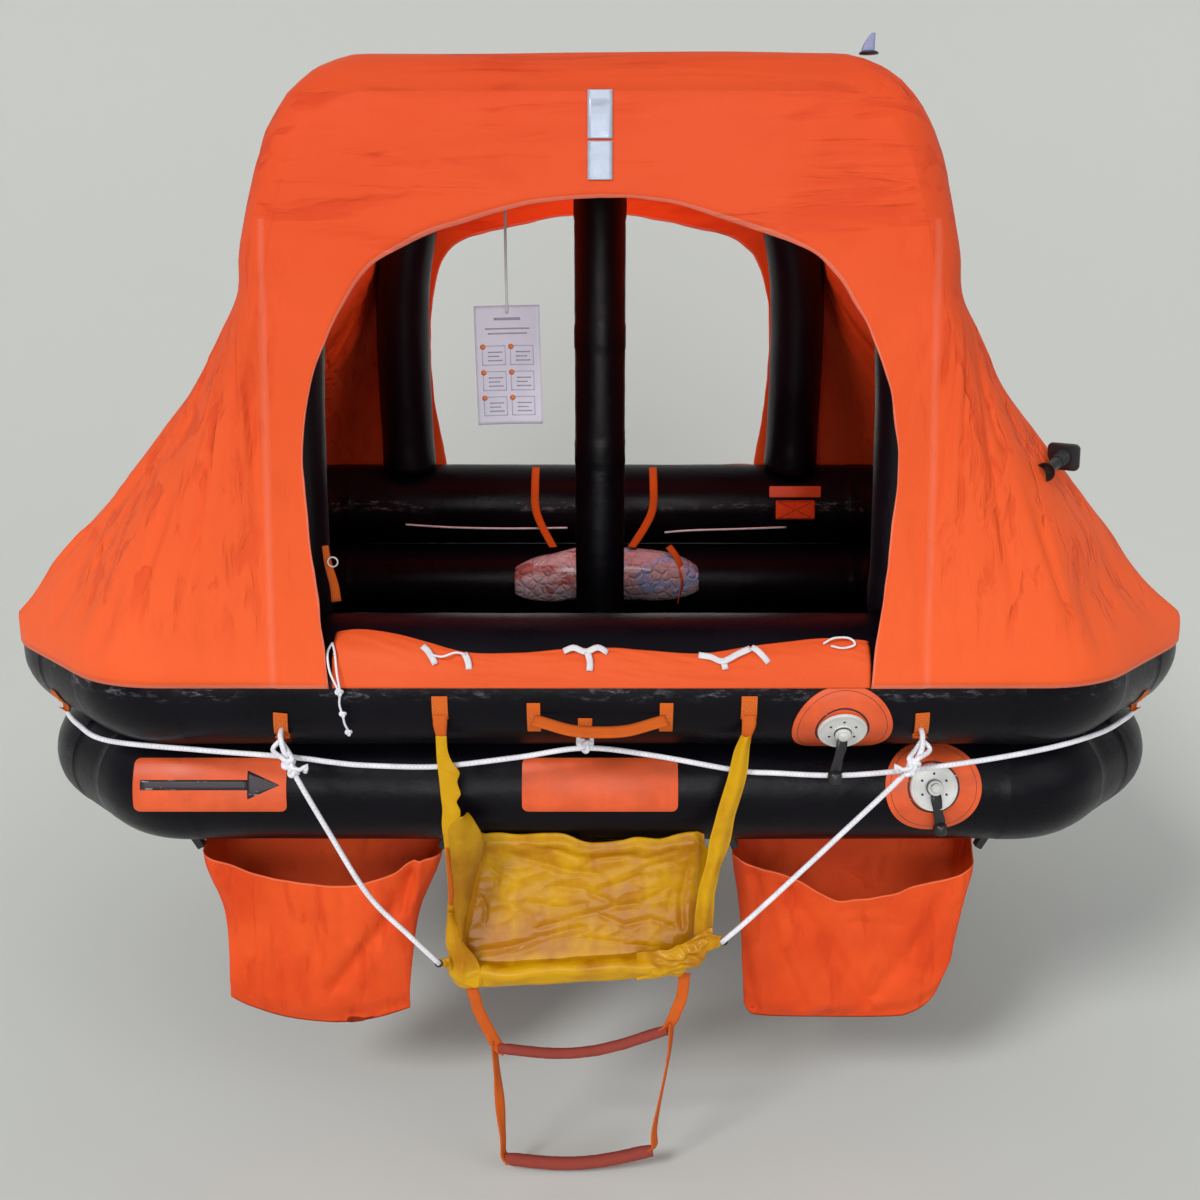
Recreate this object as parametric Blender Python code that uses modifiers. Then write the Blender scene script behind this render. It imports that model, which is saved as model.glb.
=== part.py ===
# Self-righting life raft, about eight persons, built for Blender 4.5.
# Metres, +Z up. The origin is on the waterline at the centre of the plan; -Y is the
# entrance side that carries the boarding ramp, and +X is on the right seen from there.
import math

import bmesh
import bpy
from mathutils import Matrix, Vector

# Driving sizes

TUBE_R = 0.125  # upper buoyancy tube
LOWER_R = 0.1145  # lower buoyancy tube
HALF_X = 1.065  # centreline of the upper tube
HALF_Y = 0.83
CORNER_CUT = 0.24
TUBE_BEND = 0.16
LOWER_INSET = 0.05
LOWER_Z = 0.0845
UPPER_Z = 0.319
SEAT = 0.0004  # gap between pieces that touch

SKIN = 0.004  # coated fabric, as thick as it can be packed
HEM_Z = UPPER_Z + 0.026
HEM_R = TUBE_R + SKIN + 0.0015

ARCH_R = 0.0805
ARCH_Y = 0.70  # at the ridge; the legs lean out to stand on the tubes
ARCH_FOOT_Y = 0.79
ARCH_FOOT_Z = 0.4412
ARCH_TOP_Z = 1.355
ARCH_WRAP = ARCH_R + SKIN + 0.0025
WRAP_STEPS = 6
WRAP_EDGE = math.radians(80)
PILLAR_R = 0.0635

SEAM_X = 0.59
PANEL_GAP = 0.0008
FLAP_HALF = 0.484
FLAP_THICK = 0.011
FLAP_FOOT = math.radians(11.5)
FLAP_TOP = math.radians(46)

FLOOR_TOP = -0.014
FLOOR_THICK = 0.006

POCKET_X = 0.53
POCKET_W = 0.50
POCKET_D = 0.20
POCKET_H = 0.375
POCKET_Y = 0.70

RAMP_X = -0.03
ANCHOR_X = 0.30
PIVOT_Y = -0.9602
PIVOT_Z = 0.2965
RAMP_TOP = (-0.805, -0.052)  # y and z of the inner edge
RAMP_FOOT = (-0.945, -0.240)
RAMP_THICK = 0.012
ROLL_R = 0.026
RUNG_Z = (-0.397, -0.67)
RUNG_HALF = (0.167, 0.148)
LADDER_HALF = 0.20

CARD_X = -0.185
CARD_Y = -0.55
CARD_TOP = 1.0
CARD_SIZE = (0.13, 0.235)

# The arch's centreline on its right half, x and z, from the tube up to the ridge
ARCH_LINE = (
    (0.5925, ARCH_FOOT_Z),
    (0.5925, 0.75),
    (0.587, 0.93),
    (0.573, 1.06),
    (0.540, 1.205),
    (0.500, 1.303),
    (0.442, 1.348),
    (0.36, ARCH_TOP_Z),
    (0.0, ARCH_TOP_Z),
)
KNEE_Z = 1.085

# Half width of the canopy's ends, z and x, from the hem up to just under the knee
END_FLARE = (
    (0.345, 1.1945),
    (0.372, 1.187),
    (0.400, 1.172),
    (0.440, 1.140),
    (0.523, 1.074),
    (0.625, 0.972),
    (0.733, 0.871),
    (0.830, 0.790),
    (0.928, 0.723),
    (1.010, 0.682),
)

# Entrances, half width and height, from the hem up to the crown
FRONT_OPENING = (
    (0.490, 0.330),
    (0.500, 0.450),
    (0.522, 0.640),
    (0.526, 0.780),
    (0.495, 0.920),
    (0.415, 1.065),
    (0.330, 1.120),
    (0.250, 1.148),
    (0.120, 1.185),
    (0.000, 1.195),
)
REAR_OPENING = (
    (0.490, 0.330),
    (0.500, 0.450),
    (0.522, 0.640),
    (0.526, 0.800),
    (0.512, 0.950),
    (0.472, 1.070),
    (0.400, 1.130),
    (0.250, 1.165),
    (0.120, 1.190),
    (0.000, 1.200),
)

# Colour, roughness and metallic value of each material
LOOKS = {
    "black_fabric": ((0.012, 0.013, 0.018), 0.42, 0.0),
    "orange_fabric": ((0.86, 0.105, 0.018), 0.55, 0.0),
    "pocket_fabric": ((0.84, 0.09, 0.015), 0.6, 0.0),
    "floor_fabric": ((0.018, 0.019, 0.022), 0.5, 0.0),
    "yellow_sheet": ((0.62, 0.36, 0.006), 0.3, 0.0),
    "webbing": ((0.72, 0.14, 0.012), 0.7, 0.0),
    "rung_tube": ((0.27, 0.035, 0.02), 0.5, 0.0),
    "label_orange": ((0.85, 0.13, 0.025), 0.45, 0.0),
    "valve_plastic": ((0.62, 0.64, 0.66), 0.4, 0.0),
    "rope": ((0.78, 0.78, 0.82), 0.7, 0.0),
    "card": ((0.72, 0.70, 0.80), 0.6, 0.0),
    "clear_bag": ((0.45, 0.47, 0.55), 0.25, 0.0),
    "black_plastic": ((0.012, 0.012, 0.013), 0.4, 0.0),
    "lamp_lens": ((0.45, 0.50, 0.62), 0.2, 0.0),
    "cylinder_paint": ((0.42, 0.43, 0.44), 0.45, 0.3),
}


def clear_scene():
    for old in list(bpy.data.objects):
        bpy.data.objects.remove(old, do_unlink=True)


def collection(name):
    made = bpy.data.collections.new(name)
    bpy.context.scene.collection.children.link(made)
    return made


def material(name):
    if name in bpy.data.materials:
        return bpy.data.materials[name]
    colour, roughness, metallic = LOOKS[name]
    made = bpy.data.materials.new(name)
    made.use_nodes = True
    shader = made.node_tree.nodes["Principled BSDF"]
    shader.inputs["Base Color"].default_value = (*colour, 1.0)
    shader.inputs["Roughness"].default_value = roughness
    shader.inputs["Metallic"].default_value = metallic
    made.diffuse_color = (*colour, 1.0)
    return made


def place(name, data, look, group):
    made = bpy.data.objects.new(name, data)
    data.materials.append(material(look))
    group.objects.link(made)
    return made


def mesh_object(name, bm, look, group):
    bmesh.ops.recalc_face_normals(bm, faces=bm.faces)
    data = bpy.data.meshes.new(name)
    bm.to_mesh(data)
    bm.free()
    return place(name, data, look, group)


# Lines and outlines


def smooth_line(points, step):
    "A Catmull-Rom curve through the points, sampled about every step."
    points = [Vector(p) for p in points]
    ends = [2 * points[0] - points[1]] + points + [2 * points[-1] - points[-2]]
    line = []
    for a, b, c, d in zip(ends, ends[1:], ends[2:], ends[3:]):
        count = max(1, round((c - b).length / step))
        for i in range(count):
            t = i / count
            line.append(
                0.5
                * (
                    2 * b
                    + (c - a) * t
                    + (2 * a - 5 * b + 4 * c - d) * t * t
                    + (3 * b - a - 3 * c + d) * t**3
                )
            )
    return line + [points[-1]]


def octagon(half_x, half_y, cut):
    "The corners of a cut rectangle, anticlockwise from the right of the front side."
    right = [(half_x - cut, -half_y), (half_x, cut - half_y), (half_x, half_y - cut), (half_x - cut, half_y)]
    return right + [(-x, y) for x, y in reversed(right)]


def rounded(corners, bend, steps):
    "The outline with each corner replaced by a curve that starts a bend's length away."
    line = []
    count = len(corners)
    for i in range(count):
        before, here, after = (Vector(corners[(i + k) % count]) for k in (-1, 0, 1))
        reach = bend / 2
        start = here + (before - here).normalized() * reach
        end = here + (after - here).normalized() * reach
        for k in range(steps + 1):
            t = k / steps
            line.append(start * (1 - t) ** 2 + here * 2 * t * (1 - t) + end * t * t)
    return line


def tube(name, points, radius, look, group, sides=4, cyclic=False):
    "A round tube along the points; sides is the bevel resolution."
    data = bpy.data.curves.new(name, "CURVE")
    data.dimensions = "3D"
    data.bevel_depth = radius
    data.bevel_resolution = sides
    data.use_fill_caps = not cyclic
    data.twist_mode = "MINIMUM" if not cyclic else "Z_UP"
    data.render_resolution_u = 0
    spline = data.splines.new("POLY")
    spline.points.add(len(points) - 1)
    for point, here in zip(spline.points, points):
        point.co = (*here, 1.0)
    spline.use_cyclic_u = cyclic
    return place(name, data, look, group)


def plate(name, outline, thickness, look, group, holes=()):
    "A flat plate in the object's XY plane, centred on it in Z."
    data = bpy.data.curves.new(name, "CURVE")
    data.dimensions = "2D"
    data.fill_mode = "BOTH"
    data.extrude = thickness / 2
    data.render_resolution_u = 0
    for loop in (outline, *holes):
        spline = data.splines.new("POLY")
        spline.points.add(len(loop) - 1)
        for point, here in zip(spline.points, loop):
            point.co = (here[0], here[1], 0.0, 1.0)
        spline.use_cyclic_u = True
    return place(name, data, look, group)


def box(name, centre, size, look, group, bevel=0.0):
    bm = bmesh.new()
    bmesh.ops.create_cube(bm, size=1.0)
    bmesh.ops.scale(bm, vec=size, verts=bm.verts)
    made = mesh_object(name, bm, look, group)
    made.location = centre
    if bevel:
        edges = made.modifiers.new("rounded edges", "BEVEL")
        edges.width = bevel
        edges.segments = 2
    return made


def turned(name, profile, look, group, steps=24):
    "A solid turned about its own Z axis from radius and height pairs, both ends on the axis."
    bm = bmesh.new()
    verts = [bm.verts.new((radius, 0.0, height)) for radius, height in profile]
    for a, b in zip(verts, verts[1:]):
        bm.edges.new((a, b))
    data = bpy.data.meshes.new(name)
    bm.to_mesh(data)
    bm.free()
    made = place(name, data, look, group)
    screw = made.modifiers.new("turned", "SCREW")
    screw.axis = "Z"
    screw.steps = steps
    screw.render_steps = steps
    screw.use_merge_vertices = True
    screw.merge_threshold = 0.00005
    screw.use_normal_calculate = True
    return made


def loft(name, sections, look, group, thickness=0.0, closed=False):
    "Faces between neighbouring sections of equal length, as a shell or a capped solid."
    bm = bmesh.new()
    rows = [[bm.verts.new(point) for point in section] for section in sections]
    for low, high in zip(rows, rows[1:]):
        pairs = list(zip(low, low[1:], high, high[1:]))
        if closed:
            pairs.append((low[-1], low[0], high[-1], high[0]))
        for a, b, c, d in pairs:
            bm.faces.new((a, b, d, c))
    if closed:
        bm.faces.new(rows[0])
        bm.faces.new(rows[-1])
    made = mesh_object(name, bm, look, group)
    if thickness:
        shell = made.modifiers.new("cloth", "SOLIDIFY")
        shell.thickness = thickness
        shell.offset = -1.0
        shell.use_even_offset = True
    return made


def ribbon(name, line, width, thickness, look, group, across=Vector((1, 0, 0)), last_across=None, start=1.0):
    "A flat band along the line, as wide as width in the across direction, which may turn after its first point."
    line = [Vector(p) for p in line]
    last_across = last_across or across
    sections = []
    for i, here in enumerate(line):
        before = line[max(i - 1, 0)]
        after = line[min(i + 1, len(line) - 1)]
        along = (after - before).normalized()
        turned_across = across.lerp(last_across, min(1.0, max(0, i - 1) / 1.5))
        side = (turned_across - along * turned_across.dot(along)).normalized() * (width / 2)
        up = along.cross(side).normalized() * (thickness / 2) * (start if i == 0 else 1.0)
        sections.append([here - side - up, here + side - up, here + side + up, here - side + up])
    return loft(name, sections, look, group, closed=True)


# Buoyancy tubes, floor and arches


def ring_line(half_x, half_y, cut, z):
    return [(x, y, z) for x, y in rounded(octagon(half_x, half_y, cut), TUBE_BEND, 4)]


def buoyancy(group):
    tube("upper_tube", ring_line(HALF_X, HALF_Y, CORNER_CUT, UPPER_Z), TUBE_R, "black_fabric", group, 12, True)
    lower = (HALF_X - LOWER_INSET, HALF_Y - LOWER_INSET, CORNER_CUT - LOWER_INSET * 0.586)
    tube("lower_tube", ring_line(*lower, LOWER_Z), LOWER_R, "black_fabric", group, 12, True)
    chord = math.sqrt(LOWER_R**2 - (LOWER_Z - FLOOR_TOP) ** 2) + SEAT / 2
    inner = (lower[0] - chord, lower[1] - chord, lower[2] - chord * 0.586)
    floor = plate("floor", rounded(octagon(*inner), TUBE_BEND, 4), FLOOR_THICK, "floor_fabric", group)
    floor.location.z = FLOOR_TOP - FLOOR_THICK / 2


def arch_half():
    return smooth_line([(x, 0.0, z) for x, z in ARCH_LINE], 0.055)


def arch_y(z):
    "The leaning arch's distance from the middle of the raft."
    return ARCH_Y + (ARCH_FOOT_Y - ARCH_Y) * (ARCH_TOP_Z - z) / (ARCH_TOP_Z - ARCH_FOOT_Z)


def arches(group):
    half = arch_half()
    whole = [Vector((p.x, 0, p.z)) for p in half] + [Vector((-p.x, 0, p.z)) for p in reversed(half[:-1])]
    for name, side in (("front_arch", -1), ("rear_arch", 1)):
        tube(name, [(p.x, side * arch_y(p.z), p.z) for p in whole], ARCH_R, "black_fabric", group, 8)
    top = ARCH_TOP_Z + ARCH_WRAP - SKIN - SEAT
    tube(
        "centre_pillar",
        [(0, 0, z) for z in (FLOOR_TOP + SEAT, 0.45, 0.9, top)],
        PILLAR_R,
        "black_fabric",
        group,
        8,
    )


# Canopy


def arch_normal(line, i):
    before = line[max(i - 1, 0)]
    after = line[min(i + 1, len(line) - 1)]
    along = (after - before).normalized()
    return Vector((along.z, 0, -along.x))


def canopy_y(z):
    "The front panel's outer face, a plane from the hem to the arch."
    low = HALF_Y + HEM_R
    high = ARCH_Y + ARCH_WRAP
    return low + (high - low) * (z - HEM_Z) / (ARCH_TOP_Z - HEM_Z)


def wrap_section(centre, normal, drop=0.0):
    "The canopy's line over both arches at one place along them, from front to rear."
    front = []
    for k in range(WRAP_STEPS, -1, -1):
        turn = WRAP_EDGE * k / WRAP_STEPS
        out = centre + normal * (ARCH_WRAP * math.cos(turn))
        middle = arch_y(centre.z)
        reach = (canopy_y(min(out.z, ARCH_TOP_Z)) - middle) * math.sin(turn) / math.sin(WRAP_EDGE)
        front.append(Vector((out.x, -middle - reach, out.z - drop)))
    return front + [Vector((p.x, -p.y, p.z)) for p in reversed(front)]


def knee_index(line):
    heights = [(line[i] + arch_normal(line, i) * ARCH_WRAP).z for i in range(len(line))]
    return min(range(len(line)), key=lambda i: abs(heights[i] - KNEE_Z))


def roof(group):
    half = arch_half()
    first = knee_index(half)
    right = [(half[i], arch_normal(half, i)) for i in range(first, len(half))]
    sections = [wrap_section(centre, normal) for centre, normal in right[:-1]]
    sections.append(wrap_section(right[-1][0], Vector((0, 0, 1))))
    for section in reversed(sections[:-1]):
        sections.append([Vector((-p.x, p.y, p.z)) for p in section])
    loft("canopy_roof", sections, "orange_fabric", group, SKIN)


def corner_run(start, low, far, count):
    "A smooth run from the seam round the raft's corner to its side, as plan points."
    run = [start]
    for a, b in ((start, low), (far, low)):
        reach = min(0.07, 0.35 * (b - a).length)
        run.append(b + (a - b).normalized() * reach)
    run += [far + (low - far) * 0.1, far]
    line = smooth_line(run, 0.01)
    return [line[round(k * (len(line) - 1) / (count - 1))] for k in range(count)]


def end_sections():
    half = arch_half()
    knee = knee_index(half)
    knee_x, hem_x = (half[knee] + arch_normal(half, knee) * ARCH_WRAP).x, END_FLARE[0][1]
    sections = []
    hem_b = Vector((HALF_X - CORNER_CUT + HEM_R * 0.414, -HALF_Y - HEM_R))
    hem_c = Vector((HALF_X + HEM_R, CORNER_CUT - HALF_Y - HEM_R * 0.414))
    for z, x in END_FLARE:
        share = (x - knee_x) / (hem_x - knee_x)
        y = -canopy_y(z)
        low = Vector((SEAM_X + 0.03 + share * (hem_b.x - SEAM_X - 0.03), y))
        knee_y = -arch_y(KNEE_Z)
        far = Vector((x, knee_y + share * (hem_c.y - knee_y)))
        front = corner_run(Vector((SEAM_X, y)), low, far, WRAP_STEPS + 1)
        right = [Vector((p.x, p.y, z)) for p in front]
        sections.append(right + [Vector((p.x, -p.y, p.z)) for p in reversed(right)])
    sections.append(wrap_section(half[knee], arch_normal(half, knee), drop=0.0016))
    return sections


def canopy_ends(group):
    sections = end_sections()
    loft("canopy_right", sections, "orange_fabric", group, SKIN)
    mirrored = [[Vector((-p.x, p.y, p.z)) for p in section] for section in sections]
    loft("canopy_left", mirrored, "orange_fabric", group, SKIN)


def entrance_panel(name, opening, side, group):
    "A flat panel with its entrance open to the hem, leaning in from the tube to the arch."
    half = arch_half()
    outer = [(SEAM_X - PANEL_GAP, HEM_Z)]
    for i, p in enumerate(half):
        edge = p + arch_normal(half, i) * (ARCH_WRAP * math.cos(WRAP_EDGE) - 0.0018)
        if p.z > KNEE_Z - 0.1:
            outer.append((min(edge.x, SEAM_X - PANEL_GAP), edge.z))
    crown = (0.0, ARCH_TOP_Z + ARCH_WRAP * math.cos(WRAP_EDGE) - 0.0018)
    outer[-1] = crown
    inner = [(x, z) for x, z in opening]
    inner[0] = (inner[0][0], HEM_Z)
    lean = math.atan2(canopy_y(HEM_Z) - canopy_y(crown[1]), crown[1] - HEM_Z)
    rise = 1 / math.cos(lean)
    curve = smooth_line([(x, 0.0, z) for x, z in inner], 0.05)
    hole = [(p.x, p.z) for p in curve]
    outline = [(x, (z - HEM_Z) * rise) for x, z in outer]
    outline += [(-x, (z - HEM_Z) * rise) for x, z in reversed(outer[:-1])]
    outline += [(-x, (z - HEM_Z) * rise) for x, z in hole[:-1]]
    outline += [(x, (z - HEM_Z) * rise) for x, z in reversed(hole)]
    made = plate(name, outline, SKIN, "orange_fabric", group)
    outward = Vector((0, -math.cos(lean), math.sin(lean)))
    made.matrix_world = Matrix.Translation(
        Vector((0, -canopy_y(HEM_Z), HEM_Z)) - outward * (SKIN / 2)
    ) @ Matrix.Rotation(math.radians(90) - lean, 4, "X")
    if side > 0:
        made.matrix_world = Matrix.Rotation(math.pi, 4, "Z") @ made.matrix_world
    return made


def door_flap(name, side, group):
    "The entrance's cloth, folded out over the tube and tied down."
    steps = 8
    inner_r = TUBE_R + SEAT * 2
    outer_r = inner_r + FLAP_THICK
    angles = [FLAP_FOOT + (FLAP_TOP - FLAP_FOOT) * k / steps for k in range(steps + 1)]
    outline = [(inner_r * math.cos(a), inner_r * math.sin(a)) for a in angles]
    outline += [(outer_r * math.cos(a), outer_r * math.sin(a)) for a in reversed(angles)]
    made = plate(name, outline, 2 * FLAP_HALF, "orange_fabric", group)
    upright = Matrix(((0, 0, 1, 0), (side, 0, 0, 0), (0, 1, 0, 0), (0, 0, 0, 1)))
    if side < 0:
        upright = Matrix(((0, 0, -1, 0), (-1, 0, 0, 0), (0, 1, 0, 0), (0, 0, 0, 1)))
    made.matrix_world = Matrix.Translation((0, side * HALF_Y, UPPER_Z)) @ upright
    return made


# Ballast pockets


def pocket(name, x, side, group, cutters):
    "A tapered open bag under the lower tube, its outer lip lower than its inner one."
    top = LOWER_Z - LOWER_R - SEAT
    bottom = top - POCKET_H
    half_w = POCKET_W / 2
    depth = POCKET_D / 2
    sections = []
    for rise, wide, deep in ((0.0, 0.66, 0.35), (0.03, 0.735, 0.8), (0.19, 0.775, 0.95), (POCKET_H - 0.008, 1.0, 1.0),
                             (POCKET_H, 1.0, 1.0)):
        w, d, z = half_w * wide, depth * deep, bottom + rise
        sections.append([(-w, -d, z), (w, -d, z), (w, d, z), (-w, d, z)])
    bm = bmesh.new()
    rows = [[bm.verts.new(p) for p in section] for section in sections]
    bm.faces.new(rows[0])
    for low, high in zip(rows, rows[1:]):
        for i in range(4):
            k = (i + 1) % 4
            bm.faces.new((low[i], low[k], high[k], high[i]))
    made = mesh_object(name, bm, "pocket_fabric", group)
    shell = made.modifiers.new("cloth", "SOLIDIFY")
    shell.thickness = SKIN
    shell.offset = -1.0
    shell.use_even_offset = True
    mouth = rounded([(-half_w * 0.93, 0.01), (-half_w * 0.86, -0.045), (0, -0.075), (half_w * 0.86, -0.045),
                     (half_w * 0.93, 0.01)], 0.04, 3)
    cutter = plate(name + "_mouth", mouth, 0.12, "pocket_fabric", cutters)
    lips = bpy.data.meshes.new_from_object(cutter.evaluated_get(bpy.context.evaluated_depsgraph_get()))
    bpy.data.objects.remove(cutter, do_unlink=True)
    bm = bmesh.new()
    bm.from_mesh(lips)
    bmesh.ops.remove_doubles(bm, verts=bm.verts, dist=0.00005)
    bmesh.ops.transform(bm, matrix=Matrix.Rotation(math.radians(90), 4, "X"), verts=bm.verts)
    bmesh.ops.translate(bm, vec=(0, -depth, top), verts=bm.verts)
    bpy.data.meshes.remove(lips)
    cutter = mesh_object(name + "_mouth", bm, "pocket_fabric", cutters)
    for piece in (made, cutter):
        piece.location = (x, side * POCKET_Y, 0)
        piece.rotation_euler.z = 0 if side < 0 else math.pi
    cutter.hide_render = True
    cutter.display_type = "WIRE"
    cut = made.modifiers.new("mouth", "BOOLEAN")
    cut.operation = "DIFFERENCE"
    cut.solver = "EXACT"
    cut.object = cutter
    return made


# Boarding ramp and ladder, stored hanging


def pivot(name, location, group, parent=None):
    made = bpy.data.objects.new(name, None)
    group.objects.link(made)
    made.parent = parent
    if parent:
        made.location = Vector(location) - parent.location
    else:
        made.location = location
    return made


def ride(piece, carrier, origin):
    "Parent a piece, drawn in world places, to an empty on its joint's axis."
    piece.parent = carrier
    piece.location = piece.location - Vector(origin)


def boarding_ramp(group):
    origin = Vector((RAMP_X, PIVOT_Y, PIVOT_Z))
    swing = pivot("ramp_pivot", origin, group)
    top_half, foot_half = 0.19, 0.255
    (top_y, top_z), (foot_y, foot_z) = RAMP_TOP, RAMP_FOOT
    along = Vector((0, foot_y - top_y, foot_z - top_z)).normalized()
    up = Vector((0, along.z, -along.y)) * (RAMP_THICK / 2)
    top = Vector((RAMP_X, top_y, top_z))
    foot = Vector((RAMP_X, foot_y, foot_z)) - along * (ROLL_R + SEAT)
    sections = []
    for centre, half in ((top, top_half), (foot, foot_half)):
        side = Vector((half, 0, 0))
        sections.append([centre - side - up, centre + side - up, centre + side + up, centre - side + up])
    ramp = loft("ramp_panel", sections, "yellow_sheet", group, closed=True)
    ends = [(RAMP_X - foot_half - 0.012, foot_y, foot_z), (RAMP_X + foot_half + 0.012, foot_y, foot_z)]
    roll = tube("ramp_roll", ends, ROLL_R, "yellow_sheet", group, 8)
    pieces = [ramp, roll]
    for name, side in (("ramp_strap_left", -1), ("ramp_strap_right", 1)):
        line = [
            (side * ANCHOR_X, PIVOT_Y, PIVOT_Z - 0.03),
            (side * ANCHOR_X + 0.1 * RAMP_X, PIVOT_Y + 0.002, 0.10),
            (RAMP_X + side * 0.272, foot_y - 0.012, -0.12),
            (RAMP_X + side * 0.262, foot_y, foot_z + ROLL_R + 3 * SEAT),
        ]
        pieces.append(ribbon(name, smooth_line(line, 0.08), 0.045, 0.007, "yellow_sheet", group))
        hang = [(side * ANCHOR_X, PIVOT_Y, PIVOT_Z), (side * ANCHOR_X, PIVOT_Y, PIVOT_Z - 0.03 + SEAT)]
        pieces.append(ribbon(name.replace("strap", "loop"), hang, 0.028, 0.004, "webbing", group))
    for piece in pieces:
        ride(piece, swing, origin)
    return swing, origin


def ladder(group, ramp_pivot):
    foot_y, foot_z = RAMP_FOOT
    origin = Vector((RAMP_X, foot_y, foot_z - ROLL_R - SEAT))
    swing = pivot("ladder_pivot", origin, group, ramp_pivot)
    swing.location = origin - Vector((RAMP_X, PIVOT_Y, PIVOT_Z))
    pieces = []
    for side, name in ((-1, "ladder_web_left"), (1, "ladder_web_right")):
        top = Vector((RAMP_X + side * LADDER_HALF, foot_y, origin.z - SEAT))
        line = [
            top - Vector((0, 0, 0.011)),
            (RAMP_X + side * (RUNG_HALF[0] + 0.0042), foot_y, RUNG_Z[0]),
            (RAMP_X + side * (RUNG_HALF[1] + 0.0038), foot_y, RUNG_Z[1]),
            (RAMP_X + side * (RUNG_HALF[1] + 0.0032), foot_y, RUNG_Z[1] - 0.016),
        ]
        # the flat side faces out at the ramp, where the band is sewn on along a thin edge
        band = [top] + smooth_line(line, 0.05)
        web = ribbon(name, band, 0.025, 0.003, "webbing", group, Vector((side, 0, 0)), Vector((0, 1, 0)), 0.3)
        pieces.append(web)
    for name, z, half in zip(("rung_upper", "rung_lower"), RUNG_Z, RUNG_HALF):
        sag = 0.018
        line = [(RAMP_X + half * t, foot_y, z - sag * (1 - t * t) ** 2) for t in (-1, -0.75, -0.4, 0, 0.4, 0.75, 1)]
        pieces.append(tube(name, line, 0.0145, "rung_tube", group, 4))
    for piece in pieces:
        ride(piece, swing, origin)


def instruction_card(group):
    roof_z = ARCH_TOP_Z + ARCH_WRAP - SKIN
    origin = Vector((CARD_X, CARD_Y, roof_z - SEAT))
    swing = pivot("card_pivot", origin, group)
    card = box("instruction_card", (CARD_X, CARD_Y, CARD_TOP - CARD_SIZE[1] / 2),
               (CARD_SIZE[0], 0.0016, CARD_SIZE[1]), "card", group)
    line = [(CARD_X, CARD_Y, z) for z in (origin.z, 1.3, 1.15, CARD_TOP + SEAT)]
    cord = ribbon("card_tape", line, 0.006, 0.0016, "rope", group)
    for piece in (card, cord):
        ride(piece, swing, origin)


# Fittings on the tubes


def front_frame(x, turn, radius, centre_y, centre_z, side=-1):
    "A frame on a front tube's skin: its Z points out of the tube, its X along it."
    out = Vector((0, side * math.cos(turn), math.sin(turn)))
    along = Vector((-side, 0, 0))
    up = out.cross(along)
    spot = Vector((x, centre_y, centre_z)) + out * radius
    turnm = Matrix((along, up, out)).transposed().to_4x4()
    return Matrix.Translation(spot) @ turnm


def tube_label(name, x, width, height, turn, look, group, thickness=0.003, upper=False):
    "A bent plate on a tube's front skin, as a sector of a thin ring."
    radius = (TUBE_R if upper else LOWER_R) + SEAT
    steps = 6
    half = height / radius / 2
    angles = [turn - half + 2 * half * k / steps for k in range(steps + 1)]
    outline = [(radius * math.cos(a), radius * math.sin(a)) for a in angles]
    outline += [((radius + thickness) * math.cos(a), (radius + thickness) * math.sin(a)) for a in reversed(angles)]
    made = plate(name, outline, width, look, group)
    y, z = (-HALF_Y, UPPER_Z) if upper else (LOWER_INSET - HALF_Y, LOWER_Z)
    made.matrix_world = Matrix.Translation((x, y, z)) @ Matrix(
        ((0, 0, -1, 0), (-1, 0, 0, 0), (0, 1, 0, 0), (0, 0, 0, 1))
    )
    return made


def bent_disc(name, x, turn, tube_r, centre_y, centre_z, disc_r, thickness, look, group):
    "A round patch that lies on a front tube's skin, lofted along the tube."
    steps = 10
    sections = []
    for k in range(steps + 1):
        along = -math.cos(math.pi * (k + 0.25) / (steps + 0.5)) * disc_r
        half = math.sqrt(disc_r**2 - along**2) / tube_r
        angles = [turn - half + 2 * half * j / 8 for j in range(9)]
        inner = tube_r + 3 * SEAT
        outer = inner + thickness
        arc = [(inner, a) for a in angles] + [(outer, a) for a in reversed(angles)]
        sections.append(
            [(x + along, centre_y - radius * math.cos(a), centre_z + radius * math.sin(a)) for radius, a in arc]
        )
    return loft(name, sections, look, group, closed=True)


def valve(prefix, x, turn, radius, centre_y, centre_z, group):
    "A relief valve: its round patch and its body with a knob in the middle."
    thickness = 0.004
    bent_disc(prefix + "_patch", x, turn, radius, centre_y, centre_z, 0.084, thickness, "label_orange", group)
    body = turned(prefix + "_body", [(0, 0.0), (0.042, 0.0), (0.042, 0.008), (0.036, 0.013), (0.012, 0.014),
                                     (0.011, 0.023), (0, 0.024)], "valve_plastic", group)
    body.matrix_world = front_frame(x, turn, radius + thickness + 4 * SEAT, centre_y, centre_z)


def carry_handle(name, side, group):
    "A slack loop of webbing between two stitched ends on the upper tube."
    reach = TUBE_R + 0.004
    y = side * (HALF_Y + reach)
    right = [(0.0, 0.024, -0.048), (0.05, 0.021, -0.044), (0.10, 0.008, -0.032), (0.121, -0.0049, -0.030)]
    line = [(x * k, y + side * out, UPPER_Z + up) for k, half in ((-1, right[:0:-1]), (1, right)) for x, out, up in half]
    return ribbon(name, smooth_line(line, 0.025), 0.025, 0.003, "webbing", group, across=Vector((0, 0, 1)))


def anchors(group):
    "The stitched patches that the ramp's straps hang from."
    for name, x in (("ramp_anchor_left", -ANCHOR_X), ("ramp_anchor_right", ANCHOR_X)):
        tube_label(name, x, 0.03, 0.047, math.radians(-6), "webbing", group, thickness=0.004, upper=True)


# Ropes

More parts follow.
